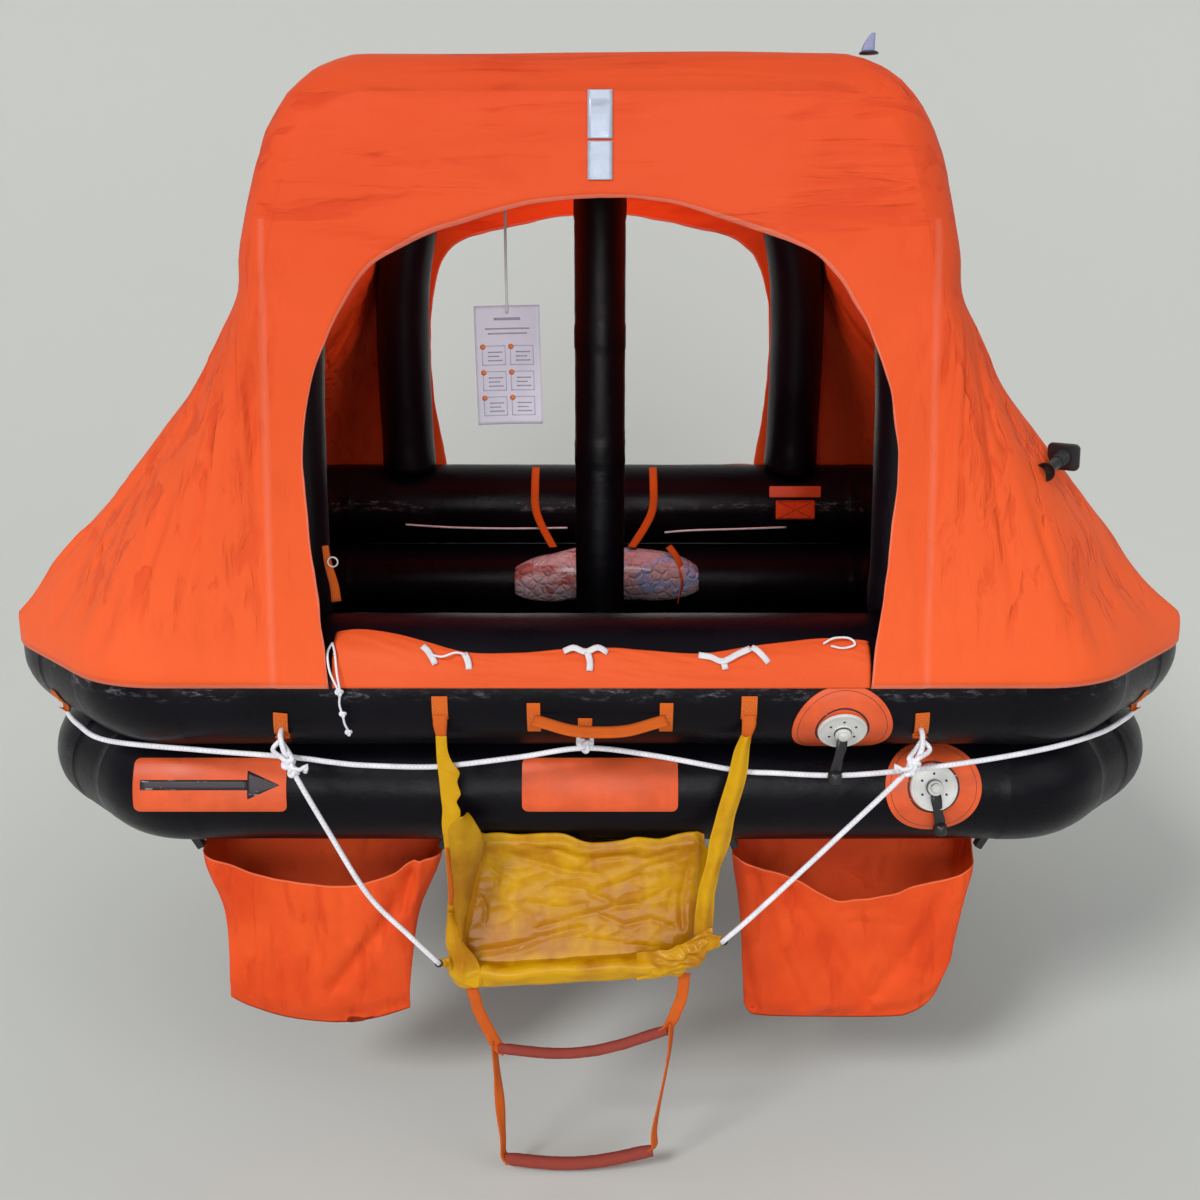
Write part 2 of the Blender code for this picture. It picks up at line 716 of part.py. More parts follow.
# Each route runs from its tab on the tube's skin; the lifeline ends at both corner tabs
LIFELINE_FRONT = (
    (-1.0508, -0.7358, 0.2352),
    (-1.0620, -0.7470, 0.2210),
    (-1.0200, -0.8000, 0.2120),
    (-0.9367, -0.8700, 0.2075),
    (-0.7446, -0.9250, 0.2113),
    (-0.5727, -0.9450, 0.2057),
    (-0.4994, -0.9450, 0.1958),
    (-0.4444, -0.9440, 0.1893),
    (-0.3341, -0.9400, 0.1836),
    (-0.2690, -0.9400, 0.1876),
    (-0.1481, -0.9400, 0.2036),
    (-0.0277, -0.9400, 0.2215),
    (0.0925, -0.9400, 0.2076),
    (0.2507, -0.9400, 0.1776),
    (0.3253, -0.9400, 0.1715),
    (0.4638, -0.9450, 0.1697),
    (0.6478, -0.9450, 0.1898),
    (0.8237, -0.9200, 0.2100),
    (0.9500, -0.8580, 0.2160),
    (1.0300, -0.7850, 0.2170),
    (1.0620, -0.7470, 0.2210),
    (1.0508, -0.7358, 0.2352),
)
BRIDLE_LEFT = (
    (-0.5850, -0.9409, 0.2605),
    (-0.5850, -0.9558, 0.2527),
    (-0.5640, -0.9820, 0.2050),
    (-0.4981, -0.9950, 0.0775),
    (-0.4310, -0.9980, -0.0500),
    (-0.3595, -0.9960, -0.1350),
    (-0.3060, -0.9880, -0.2000),
)
BRIDLE_RIGHT = (
    (0.5900, -0.9409, 0.2605),
    (0.5900, -0.9558, 0.2527),
    (0.5681, -0.9820, 0.2050),
    (0.4300, -0.9950, 0.0600),
    (0.2900, -0.9950, -0.0900),
    (0.2300, -0.9880, -0.1550),
)
ROPE_R = 0.005


def ropes(group):
    front = smooth_line(LIFELINE_FRONT, 0.034)
    tube("lifeline_front", front, ROPE_R, "rope", group, 2)
    tube("lifeline_rear", [(-p.x, -p.y, p.z) for p in front], ROPE_R, "rope", group, 2)
    tube("bridle_left", smooth_line(BRIDLE_LEFT, 0.022), ROPE_R, "rope", group, 2)
    tube("bridle_right", smooth_line(BRIDLE_RIGHT, 0.022), ROPE_R, "rope", group, 2)


# Inside, on top and underneath


def inside(group):
    bag = box("equipment_bag", (0.02, 0.575, 0.163), (0.55, 0.14, 0.165), "clear_bag", group, bevel=0.04)
    bag.modifiers["rounded edges"].segments = 3
    for name, x in (("bag_strap_left", -0.20), ("bag_strap_right", 0.165)):
        hug = TUBE_R + 0.0026
        turns = [math.radians(a) for a in (75, 55, 35, 15)]
        line = [(x, HALF_Y - hug * math.cos(a), UPPER_Z + hug * math.sin(a)) for a in turns]
        line += [(x, 0.690, 0.318), (x, 0.65, 0.284), (x, 0.60, 0.2475)]
        ribbon(name, smooth_line(line, 0.02), 0.025, 0.003, "webbing", group)
    frame = front_frame(0.60, -0.22, TUBE_R + 0.0097, HALF_Y, UPPER_Z, side=-1)
    knife = box("knife_pocket", (0, 0, 0), (0.165, 0.085, 0.018), "label_orange", group, bevel=0.004)
    knife.matrix_world = frame


def on_top(group):
    light = turned("exterior_light", [(0, 0), (0.016, 0), (0.016, 0.004), (0.011, 0.008), (0.009, 0.03), (0.004, 0.04),
                                      (0, 0.041)], "lamp_lens", group, 16)
    light.location = (0.45, -ARCH_Y, ARCH_TOP_Z + ARCH_WRAP - 0.0074)
    spout = turned("rain_spout", [(0, 0), (0.020, 0), (0.020, 0.02), (0.012, 0.026), (0.011, 0.075), (0.019, 0.094),
                                  (0, 0.096)], "black_plastic", group, 16)
    spout.matrix_world = Matrix.Translation((0.8936, -0.7198, 0.7330)) @ Vector((-0.62, -0.77, -0.1)).to_track_quat(
        "Z", "Y").to_matrix().to_4x4()


def gas_cylinder(group):
    radius = 0.07
    z = LOWER_Z - LOWER_R - radius - SEAT
    bottle = turned("gas_cylinder", [(0, 0), (0.045, 0.004), (0.066, 0.02), (radius, 0.045), (radius, 0.40),
                                     (0.058, 0.44), (0.022, 0.462), (0.018, 0.468), (0.018, 0.50), (0, 0.50)],
                    "cylinder_paint", group, 24)
    bottle.matrix_world = Matrix.Translation((-0.24, HALF_Y - LOWER_INSET, z)) @ Matrix.Rotation(
        math.radians(90), 4, "Y")


def build():
    clear_scene()
    raft = collection("self_righting_life_raft")
    cutters = collection("cutters")
    buoyancy(raft)
    arches(raft)
    roof(raft)
    canopy_ends(raft)
    entrance_panel("canopy_front", FRONT_OPENING, -1, raft)
    entrance_panel("canopy_rear", REAR_OPENING, 1, raft)
    door_flap("front_door_flap", -1, raft)
    door_flap("rear_door_flap", 1, raft)
    for name, x, side in (
        ("pocket_front_left", -POCKET_X, -1),
        ("pocket_front_right", POCKET_X, -1),
        ("pocket_rear_left", -POCKET_X, 1),
        ("pocket_rear_right", POCKET_X, 1),
    ):
        pocket(name, x, side, raft, cutters)
    ramp_pivot, _ = boarding_ramp(raft)
    ladder(raft, ramp_pivot)
    instruction_card(raft)
    anchors(raft)
    valve("valve_upper", 0.445, math.radians(-28), TUBE_R, -HALF_Y, UPPER_Z, raft)
    valve("valve_lower", 0.636, math.radians(18), LOWER_R, LOWER_INSET - HALF_Y, LOWER_Z, raft)
    tube_label("arrow_plate", -0.745, 0.295, 0.105, math.radians(20), "label_orange", raft)
    tube_label("number_plate", 0.0, 0.30, 0.105, math.radians(20), "label_orange", raft)
    carry_handle("carry_handle_front", -1, raft)
    carry_handle("carry_handle_rear", 1, raft)
    ropes(raft)
    inside(raft)
    on_top(raft)
    gas_cylinder(raft)


build()
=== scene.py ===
import bisect
import math

import bmesh
import bpy
from mathutils import Matrix, Vector, noise
from mathutils.bvhtree import BVHTree


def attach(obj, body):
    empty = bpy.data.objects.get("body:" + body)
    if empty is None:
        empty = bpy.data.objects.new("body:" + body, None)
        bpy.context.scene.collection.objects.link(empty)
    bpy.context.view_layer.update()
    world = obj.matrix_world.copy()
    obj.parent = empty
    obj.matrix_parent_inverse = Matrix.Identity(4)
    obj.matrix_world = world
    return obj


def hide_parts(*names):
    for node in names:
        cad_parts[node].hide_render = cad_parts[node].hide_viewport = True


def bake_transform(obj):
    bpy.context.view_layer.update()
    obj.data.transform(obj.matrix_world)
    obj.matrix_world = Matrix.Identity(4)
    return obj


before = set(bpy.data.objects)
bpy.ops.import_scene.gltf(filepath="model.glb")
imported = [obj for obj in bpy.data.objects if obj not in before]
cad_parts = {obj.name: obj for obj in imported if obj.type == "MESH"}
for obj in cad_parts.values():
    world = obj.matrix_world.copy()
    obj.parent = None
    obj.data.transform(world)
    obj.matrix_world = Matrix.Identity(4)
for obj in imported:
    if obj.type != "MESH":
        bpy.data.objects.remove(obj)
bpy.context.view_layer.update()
scene = bpy.context.scene
print("frame loaded")

# Camera at the photograph's place

cameraSetup = {"lens": 37.8, "place": (0.0, -3.104, 1.123), "pitch": 15.916}
cameraData = bpy.data.cameras.new("photoCamera")
cameraData.lens = cameraSetup["lens"]
cameraData.sensor_width = 36.0
camera = bpy.data.objects.new("photoCamera", cameraData)
camera.location = cameraSetup["place"]
camera.rotation_euler = (math.radians(90 - cameraSetup["pitch"]), 0.0, 0.0)
scene.collection.objects.link(camera)
scene.camera = camera

# Sizes shared by many pieces, in metres

raft = {
    "tubeR": 0.125,
    "lowerR": 0.1145,
    "halfX": 1.072,
    "halfY": 0.83,
    "cut": 0.224,
    "bend": 0.10,
    "lowerX": 1.049,
    "lowerY": 0.78,
    "lowerCut": 0.19,
    "upperZ": 0.319,
    "lowerZ": 0.0845,
    "hemZ": 0.345,
    "hemR": 0.1305,
    "archR": 0.0805,
    "archY": 0.70,
    "archFootY": 0.79,
    "archFootZ": 0.4412,
    "archTopZ": 1.355,
    "wrap": 0.087,
    "pillarR": 0.0635,
    "seamX": 0.59,
    "floorTop": -0.014,
}

upperTube = {"y": raft["halfY"], "z": raft["upperZ"], "r": raft["tubeR"]}
lowerTube = {"y": raft["lowerY"], "z": raft["lowerZ"], "r": raft["lowerR"]}

# Lines


def smoothLine(points, step):
    # Catmull-Rom through the points, sampled about every step
    points = [Vector(p) for p in points]
    ends = [2 * points[0] - points[1]] + points + [2 * points[-1] - points[-2]]
    line = []
    for a, b, c, d in zip(ends, ends[1:], ends[2:], ends[3:]):
        count = max(1, round((c - b).length / step))
        for i in range(count):
            t = i / count
            second, third = 2 * a - 5 * b + 4 * c - d, 3 * b - a - 3 * c + d
            line.append(0.5 * (2 * b + (c - a) * t + second * t * t + third * t**3))
    return line + [points[-1]]


class Track:
    # a line that can be read at any share of its length
    def __init__(self, points):
        self.points = [Vector(p) for p in points]
        self.marks = [0.0]
        for a, b in zip(self.points, self.points[1:]):
            self.marks.append(self.marks[-1] + (b - a).length)
        self.length = self.marks[-1]

    def at(self, share):
        goal = min(max(share, 0.0), 1.0) * self.length
        low, high = 0, len(self.marks) - 1
        while high - low > 1:
            middle = (low + high) // 2
            if self.marks[middle] <= goal:
                low = middle
            else:
                high = middle
        span = self.marks[high] - self.marks[low]
        return self.points[low].lerp(self.points[high], (goal - self.marks[low]) / span if span else 0.0)

    def spread(self, count):
        return [self.at(i / (count - 1)) for i in range(count)]


def lineFrames(line, up=None, cyclic=False):
    # a side and an over direction at each point, steady along the line
    frames = []
    side = None
    for i, here in enumerate(line):
        before = line[i - 1] if i or cyclic else here
        after = line[(i + 1) % len(line)] if i + 1 < len(line) or cyclic else here
        along = (after - before).normalized()
        if up is not None:
            side = along.cross(up).normalized()
        elif side is None:
            guess = Vector((0, 0, 1)) if abs(along.z) < 0.9 else Vector((0, 1, 0))
            side = along.cross(guess).normalized()
        else:
            side = (side - along * side.dot(along)).normalized()
        frames.append((here, side, side.cross(along).normalized(), along))
    return frames


def step01(value, low, high):
    t = min(max((value - low) / (high - low), 0.0), 1.0)
    return t * t * (3 - 2 * t)


def ripple(point, scale, seed=0.0):
    # smooth noise from -1 to 1 at a point, stretched by a scale of three numbers
    x, y, z = (place * stretch for place, stretch in zip(point, scale))
    return noise.noise(Vector((x + seed, y - seed, z + seed * 0.7)))


def crease(point, scale, seed):
    # narrow ridges between soft hollows, from -1 to 1
    return 1 - 2.6 * abs(ripple(point, scale, seed)) ** 0.8


def tableReader(rows):
    # reads a short table at any place in its first column, smoothly between the rows
    fine = smoothLine([(*row, 0.0)[:3] for row in rows], 0.008)
    places = [p.x for p in fine]

    def read(place):
        k = min(max(bisect.bisect(places, place), 1), len(fine) - 1)
        a, b = fine[k - 1], fine[k]
        return a.lerp(b, min(max((place - a.x) / max(b.x - a.x, 1e-6), 0.0), 1.0))

    return read


def creaseDepth(x, z, routes):
    # creases along routes of flat points: each a dent with a ridge on one side
    total = 0.0
    for width, weight, route in routes:
        gap, sign = width * 4, 1
        for (ax, az), (bx, bz) in zip(route, route[1:]):
            dx, dz = bx - ax, bz - az
            share = min(max(((x - ax) * dx + (z - az) * dz) / (dx * dx + dz * dz), 0.0), 1.0)
            away = math.hypot(x - ax - dx * share, z - az - dz * share)
            if away < gap:
                gap, sign = away, math.copysign(1, dx * (z - az) - dz * (x - ax))
        reach = gap / width
        if reach < 3:
            total += weight * (0.7 * sign * reach - 0.8) * math.exp(-reach * reach)
    return total


# Meshes and pieces


def sheetMesh(columns, rows, placeAt, size=(1.0, 1.0), closed=False, capped=False):
    # a grid whose points are put where placeAt says; closed joins its two sides
    bm = bmesh.new()
    uvs = bm.loops.layers.uv.new("UVMap")
    bmesh.ops.create_grid(bm, x_segments=columns, y_segments=rows, size=0.5, calc_uvs=True)
    for face in bm.faces:
        for loop in face.loops:
            loop[uvs].uv = (loop[uvs].uv.x * size[0], loop[uvs].uv.y * size[1])
    for vert in bm.verts:
        vert.co = placeAt(vert.co.x + 0.5, vert.co.y + 0.5)
    if closed:
        bmesh.ops.remove_doubles(bm, verts=bm.verts[:], dist=0.00002)
    if capped:
        rims = [edge for edge in bm.edges if edge.is_boundary]
        bmesh.ops.holes_fill(bm, edges=rims, sides=0)
    if closed or capped:
        bmesh.ops.recalc_face_normals(bm, faces=bm.faces[:])
    return bm


def tubeMesh(line, radiusAt, sides=12, up=None, cyclic=False, ratio=1.0):
    # a round or flattened tube along the line; radiusAt takes a share of the length and an angle
    frames = lineFrames(line, up, cyclic)
    rows = len(line) if cyclic else len(line) - 1
    length = Track(line).length

    def placeAt(u, w):
        here, side, over, _ = frames[round(w * rows) % len(frames)]
        angle = 2 * math.pi * u
        radius = radiusAt(w, angle) if callable(radiusAt) else radiusAt
        return here + side * (radius * math.cos(angle)) + over * (radius * ratio * math.sin(angle))

    girth = 2 * math.pi * (radiusAt(0.5, 0.0) if callable(radiusAt) else radiusAt)
    return sheetMesh(sides, rows, placeAt, (girth, length), closed=True, capped=not cyclic)


def bandMesh(line, width, across=Vector((1, 0, 0)), lastAcross=None, columns=3):
    # a flat band along the line, wide in the across direction, which may turn on the way
    lastAcross = lastAcross or across
    rows = len(line) - 1
    frames = []
    for i, here in enumerate(line):
        along = (line[min(i + 1, rows)] - line[max(i - 1, 0)]).normalized()
        want = across.lerp(lastAcross, i / rows)
        frames.append((here, (want - along * want.dot(along)).normalized()))

    def placeAt(u, w):
        here, side = frames[round(w * rows)]
        wide = width(w) if callable(width) else width
        return here + side * (wide * (u - 0.5))

    return sheetMesh(columns, rows, placeAt, (width(0.5) if callable(width) else width, Track(line).length))


def makePiece(name, bm, look, body="raft", thickness=0.0, levels=0, slotName=None, standsFor=(), offset=0.0):
    # look is a key of looks, or a material
    finish, usualSlot = looks[look] if isinstance(look, str) else (look, None)
    slotName = slotName or usualSlot
    mesh = bpy.data.meshes.new(name)
    bm.to_mesh(mesh)
    bm.free()
    mesh.materials.append(finish)
    mesh.shade_smooth()
    piece = bpy.data.objects.new(name, mesh)
    scene.collection.objects.link(piece)
    if thickness:
        wall = piece.modifiers.new("cloth", "SOLIDIFY")
        wall.thickness = thickness
        wall.offset = offset
    if levels:
        smoother = piece.modifiers.new("smooth", "SUBSURF")
        smoother.levels = smoother.render_levels = levels
    if body:
        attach(piece, body)
    if standsFor:
        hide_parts(*standsFor)
    return piece


def declareCord(piece, line, diameter, lay, farEnd="object", **more):
    path = [tuple(p) for p in line]
    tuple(path[0])
    Track(line).length


def mergeMeshes(parts):
    # one bmesh from several
    whole = bmesh.new()
    whole.loops.layers.uv.new("UVMap")
    for part in parts:
        data = bpy.data.meshes.new("part")
        part.to_mesh(data)
        part.free()
        whole.from_mesh(data)
        bpy.data.meshes.remove(data)
    return whole


def sharpen(piece, degrees=35):
    piece.data.set_sharp_from_angle(angle=math.radians(degrees))


def roundedPlate(width, height, corner, thickness, cutStep=0.006, edge=0.0006):
    # a plate with round corners in XY, cut across so that it can be bent about X
    bm = bmesh.new()
    bmesh.ops.create_grid(bm, x_segments=1, y_segments=1, size=0.5)
    bmesh.ops.scale(bm, vec=(width, height, 1.0), verts=bm.verts[:])
    bmesh.ops.bevel(bm, geom=bm.verts[:], offset=corner, affect="VERTICES", segments=5, profile=0.5, material=-1)
    return thickened(bm, thickness, cutStep, height, edge)


def roundPlate(radius, thickness, cutStep=0.006, segments=48, edge=0.0006):
    bm = bmesh.new()
    bmesh.ops.create_circle(bm, cap_ends=True, segments=segments, radius=radius)
    return thickened(bm, thickness, cutStep, 2 * radius, edge)


def thickened(bm, thickness, cutStep, height, edge):
    made = bmesh.ops.extrude_face_region(bm, geom=bm.faces[:])
    top = [g for g in made["geom"] if isinstance(g, bmesh.types.BMVert)]
    bmesh.ops.translate(bm, vec=(0, 0, thickness), verts=top)
    bmesh.ops.recalc_face_normals(bm, faces=bm.faces[:])
    if edge:
        rim = [e for e in bm.edges if all(v.co.z > thickness * 0.5 for v in e.verts)]
        bmesh.ops.bevel(bm, geom=rim, offset=edge, affect="EDGES", segments=2, profile=0.5, material=-1)
    cuts = int(height / cutStep)
    for k in range(1, cuts):
        y = height * (k / cuts - 0.5)
        bmesh.ops.bisect_plane(
            bm, geom=bm.verts[:] + bm.edges[:] + bm.faces[:], plane_co=(0, y, 0), plane_no=(0, 1, 0)
        )
    return bm


def ontoTube(point, x, turn, tube, side=-1, lift=0.0, tilt=0.0):
    # a flat point laid on a tube's outer skin, its x along the tube and its y up round it
    px = point[0] * math.cos(tilt) - point[1] * math.sin(tilt)
    py = point[0] * math.sin(tilt) + point[1] * math.cos(tilt)
    angle = turn + py / tube["r"]
    reach = tube["r"] + lift + point[2]
    return Vector((x - side * px, side * (tube["y"] + reach * math.cos(angle)), tube["z"] + reach * math.sin(angle)))


def layOn(bm, x, turn, tube, side=-1, lift=0.0004, tilt=0.0):
    for vert in bm.verts:
        vert.co = ontoTube(vert.co, x, turn, tube, side, lift, tilt)
    bmesh.ops.recalc_face_normals(bm, faces=bm.faces[:])
    return bm


def stitchRow(points, length=0.0036, gap=0.0022, width=0.0009):
    # short threads along a flat line
    line = Track(points)
    parts = []
    for k in range(int(line.length / (length + gap))):
        start = (k * (length + gap)) / line.length
        a, b = line.at(start), line.at(start + length / line.length)
        along = (b - a).normalized()
        up = Vector((0, 0, 1))
        side = along.cross(up).normalized()
        bm = bmesh.new()
        bm.loops.layers.uv.new("UVMap")
        bmesh.ops.create_cube(bm, size=1.0)
        turned = Matrix((along * (b - a).length, side * width, up * width * 0.8)).transposed().to_4x4()
        bmesh.ops.transform(bm, matrix=Matrix.Translation((a + b) / 2) @ turned, verts=bm.verts[:])
        bmesh.ops.recalc_face_normals(bm, faces=bm.faces[:])
        parts.append(bm)
    return parts


# Shader writing


class Num:
    # a number in a material, with its maths written as Python
    def __init__(self, tree, socket):
        self.tree, self.socket = tree, socket

    def __rtruediv__(self, other):
        return self.work("POWER", -1.0) * other

    def work(self, operation, *others, clamped=False):
        node = self.tree.nodes.new("ShaderNodeMath")
        node.operation = operation
        node.use_clamp = clamped
        for slot, value in zip(node.inputs, (self, *others)):
            if isinstance(value, Num):
                self.tree.links.new(value.socket, slot)
            else:
                slot.default_value = value
        return Num(self.tree, node.outputs[0])

    def __add__(self, other):
        return self.work("ADD", other)

    __radd__ = __add__

    def __mul__(self, other):
        return self.work("MULTIPLY", other)

    __rmul__ = __mul__

    def __sub__(self, other):
        return self.work("SUBTRACT", other)

    def __rsub__(self, other):
        return self.work("MULTIPLY", -1.0).work("ADD", other)

    def __truediv__(self, other):
        return self.work("DIVIDE", other)

    def __abs__(self):
        return self.work("ABSOLUTE")

    def sine(self):
        return self.work("SINE")

    def above(self, edge):
        return self.work("GREATER_THAN", edge)

    def below(self, edge):
        return self.work("LESS_THAN", edge)


class Paint:
    # one material and the nodes that it is made from
    def __init__(self, name, colour=(0.5, 0.5, 0.5), roughness=0.5, **settings):
        self.material = bpy.data.materials.new(name)
        self.material.use_nodes = True
        self.tree = self.material.node_tree
        self.shader = self.tree.nodes["Principled BSDF"]
        self.put("Base Color", colour)
        self.put("Roughness", roughness)
        for label, value in settings.items():
            self.put(label, value)

    def put(self, label, value):
        slot = self.shader.inputs[label]
        if isinstance(value, Num):
            self.tree.links.new(value.socket, slot)
        elif slot.type == "RGBA":
            slot.default_value = (*value, 1.0)
        else:
            slot.default_value = value

    def node(self, kind, settings=(), sockets=(), output=0):
        made = self.tree.nodes.new(kind)
        for label, value in dict(settings).items():
            setattr(made, label, value)
        for label, value in dict(sockets).items():
            slot = made.inputs[label]
            if isinstance(value, Num):
                self.tree.links.new(value.socket, slot)
            elif slot.type == "RGBA" and len(value) == 3:
                slot.default_value = (*value, 1.0)
            else:
                slot.default_value = value
        return Num(self.tree, made.outputs[output])

    def coords(self, source="Object", scale=(1, 1, 1)):
        found = self.node("ShaderNodeTexCoord", output={"Object": 3, "UV": 2}[source])
        return self.node("ShaderNodeMapping", {}, {0: found, 3: scale})

    def axes(self, coords):
        split = self.node("ShaderNodeSeparateXYZ", {}, {0: coords})
        return [Num(self.tree, out) for out in split.socket.node.outputs]

    def cloud(self, coords, scale, detail=3.0, rough=0.5, twist=0.0):
        return self.node(
            "ShaderNodeTexNoise", {},
            {"Vector": coords, "Scale": scale, "Detail": detail, "Roughness": rough, "Distortion": twist}
        )

    def ramp(self, value, low, high, to=(0.0, 1.0)):
        return self.node(
            "ShaderNodeMapRange", {"interpolation_type": "SMOOTHSTEP"},
            {0: value, 1: low, 2: high, 3: to[0], 4: to[1]}
        )

    def blend(self, share, a, b):
        made = self.tree.nodes.new("ShaderNodeMix")
        made.data_type = "RGBA"
        for slot, value in ((made.inputs[0], share), (made.inputs[6], a), (made.inputs[7], b)):
            if isinstance(value, Num):
                self.tree.links.new(value.socket, slot)
            else:
                slot.default_value = value if slot.type != "RGBA" else (*value, 1.0)
        return Num(self.tree, made.outputs[2])

    def bump(self, height, distance, strength=1.0):
        self.put(
            "Normal", self.node("ShaderNodeBump", {}, {"Strength": strength, "Distance": distance, "Height": height})
        )


def weave(paint, coords, pitch):
    # crossing threads from two sine waves
    u, v, _ = paint.axes(coords)
    rate = 2 * math.pi / pitch
    return (u * rate).sine() * 0.25 + (v * rate).sine() * 0.25 + 0.5


def blackRubber(name, dust=0.3, gloss=0.36, hemDustAndHighlight=False, sheen=0.13):
    paint = Paint(name, (0.004, 0.004, 0.007), gloss, **{"Specular IOR Level": sheen})
    where = paint.coords()
    wide = paint.cloud(where, 5.0, 4.0, 0.55)
    fine = paint.cloud(where, 60.0, 3.0, 0.6)
    scuff = paint.cloud(paint.coords(scale=(3, 14, 14)), 9.0, 6.0, 0.7)
    bare = paint.blend(wide, (0.0018, 0.0012, 0.0026), (0.0045, 0.0034, 0.0066))
    paint.put("Base Color", paint.blend(paint.ramp(scuff, 0.58, 0.74, (0.0, dust)), bare, (0.036, 0.029, 0.040)))
    paint.put("Roughness", paint.ramp(wide * 0.6 + scuff * 0.4, 0.3, 0.7, (gloss - 0.07, gloss + 0.13)))
    if hemDustAndHighlight:
        # pale specks in a band just below the hem: dust, and painted highlight on the tube's upper face
        _, _, height = paint.axes(where)
        under = paint.ramp(height, 0.312, 0.338) * height.below(0.352)
        grain = paint.cloud(paint.coords(scale=(0.35, 0.35, 1.0)), 60.0, 5.0, 0.75)
        specks = paint.ramp(grain, 0.50, 0.66) * paint.ramp(wide, 0.42, 0.62)
        clean = paint.blend(wide, (0.0018, 0.0013, 0.0026), (0.0048, 0.0038, 0.0070))
        paint.put("Base Color", paint.blend(under * specks * 0.45, clean, (0.30, 0.29, 0.33)))
    grain = paint.cloud(where, 900.0, 2.0, 0.5)
    paint.bump(fine * 0.5 + grain * 0.12 + wide * 0.8, 0.0016, 0.7)
    return paint.material


def canopyCloth(name, tint=1.0, seams=False):
    paint = Paint(name, (0.80, 0.09, 0.018), 0.56, **{"Specular IOR Level": 0.2})
    where = paint.coords()
    x, y, height = paint.axes(where)
    wide = paint.cloud(where, 2.2, 5.0, 0.55)
    low, high = (0.90 * tint, 0.118 * tint, 0.024 * tint), (0.70 * tint, 0.058 * tint, 0.010 * tint)
    # painted shade of small folds: short dark strokes run down the ends and level over the ridge
    lie = paint.ramp(height, 1.02, 1.2)
    downs = paint.cloud(paint.coords(scale=(1.0, 1.0, 0.22)), 30.0, 3.0, 0.5, 0.5)
    levels = paint.cloud(paint.coords(scale=(0.14, 1.0, 1.0)), 26.0, 3.0, 0.5, 0.5)
    foldShade = paint.ramp(downs, 0.50, 0.68) * (1 - lie) * paint.ramp(abs(x), 0.50, 0.66)
    foldShade = foldShade + paint.ramp(levels, 0.50, 0.68) * lie * 0.8
    foldShade = foldShade * paint.ramp(wide, 0.36, 0.56) * paint.ramp(height, 0.40, 0.50)
    foldShade = foldShade * paint.ramp(abs(y), 0.40, 0.58, (0.2, 1.0))
    # colour share: painted shade that darkens the cloth towards the ridge, plus random tone and the painted fold
    # shade
    share = paint.ramp(height, 0.45, 1.42, (0.10, 0.72)) + (wide - 0.5) * 0.5 + foldShade * 0.42
    paper = paint.blend(share.work("ADD", 0.0, clamped=True), low, high)
    paint.put("Base Color", paper)
    paint.put("Roughness", paint.ramp(wide, 0.3, 0.7, (0.46, 0.62)))
    threads = weave(paint, paint.coords("UV"), 0.0012)
    soft = paint.cloud(where, 26.0, 3.0, 0.5, 0.4)
    paint.bump(soft * 0.35 - foldShade * 0.75 + threads * 0.04, 0.0055, 0.9)
    if seams:
        offSeam = abs(abs(x) - raft["seamX"] - (wide - 0.5) * 0.012)
        flank = height.below(1.16) * abs(y).above(0.6)
        upright = paint.ramp(offSeam, 0.0095, 0.0035) * flank * paint.ramp(wide, 0.30, 0.60, (0.45, 1.0))
        ridge = paint.ramp(offSeam, 0.0022, 0.0008) * flank
        around, _, _ = paint.axes(paint.coords("UV"))
        hem = paint.ramp(height, raft["hemZ"] + 0.008, raft["hemZ"] + 0.004)
        rim = abs(around - 1.3).above(1.2935).work("MAXIMUM", hem)
        marks = (upright * 0.10 + ridge * 0.05 + rim * 0.30).work("ADD", 0.0, clamped=True)
        paint.put("Base Color", paint.blend(marks, paper, (0.93, 0.40, 0.32)))
    return paint.material


def pocketCloth(name):
    paint = Paint(name, (0.78, 0.075, 0.014), 0.62, **{"Specular IOR Level": 0.16})
    where = paint.coords()
    wide = paint.cloud(where, 6.0, 5.0, 0.6)
    damp = paint.cloud(where, 2.4, 3.0, 0.5)
    # painted shade of small folds: dark strokes that run down the cloth
    foldShade = paint.ramp(paint.cloud(paint.coords(scale=(1.0, 1.0, 0.25)), 26.0, 3.0, 0.5, 0.6), 0.52, 0.70)
    _, upright, _ = paint.axes(paint.coords("UV"))
    brim = upright.above(0.4280)
    cloth = paint.blend(paint.ramp(wide * 0.6 + damp * 0.4, 0.32, 0.68), (0.68, 0.055, 0.007), (0.83, 0.096, 0.016))
    cloth = paint.blend(foldShade * 0.5, cloth, (0.58, 0.040, 0.005))
    paint.put("Base Color", paint.blend(brim * 0.35, cloth, (0.95, 0.26, 0.12)))
    paint.put("Roughness", paint.ramp(wide, 0.3, 0.7, (0.5, 0.68)))
    threads = weave(paint, paint.coords("UV"), 0.0013)
    creases = paint.cloud(where, 22.0, 4.0, 0.6, 0.5)
    paint.bump(creases * 0.8 - foldShade * 0.6 + threads * 0.08 + brim * 0.3, 0.0030, 0.8)
    return paint.material


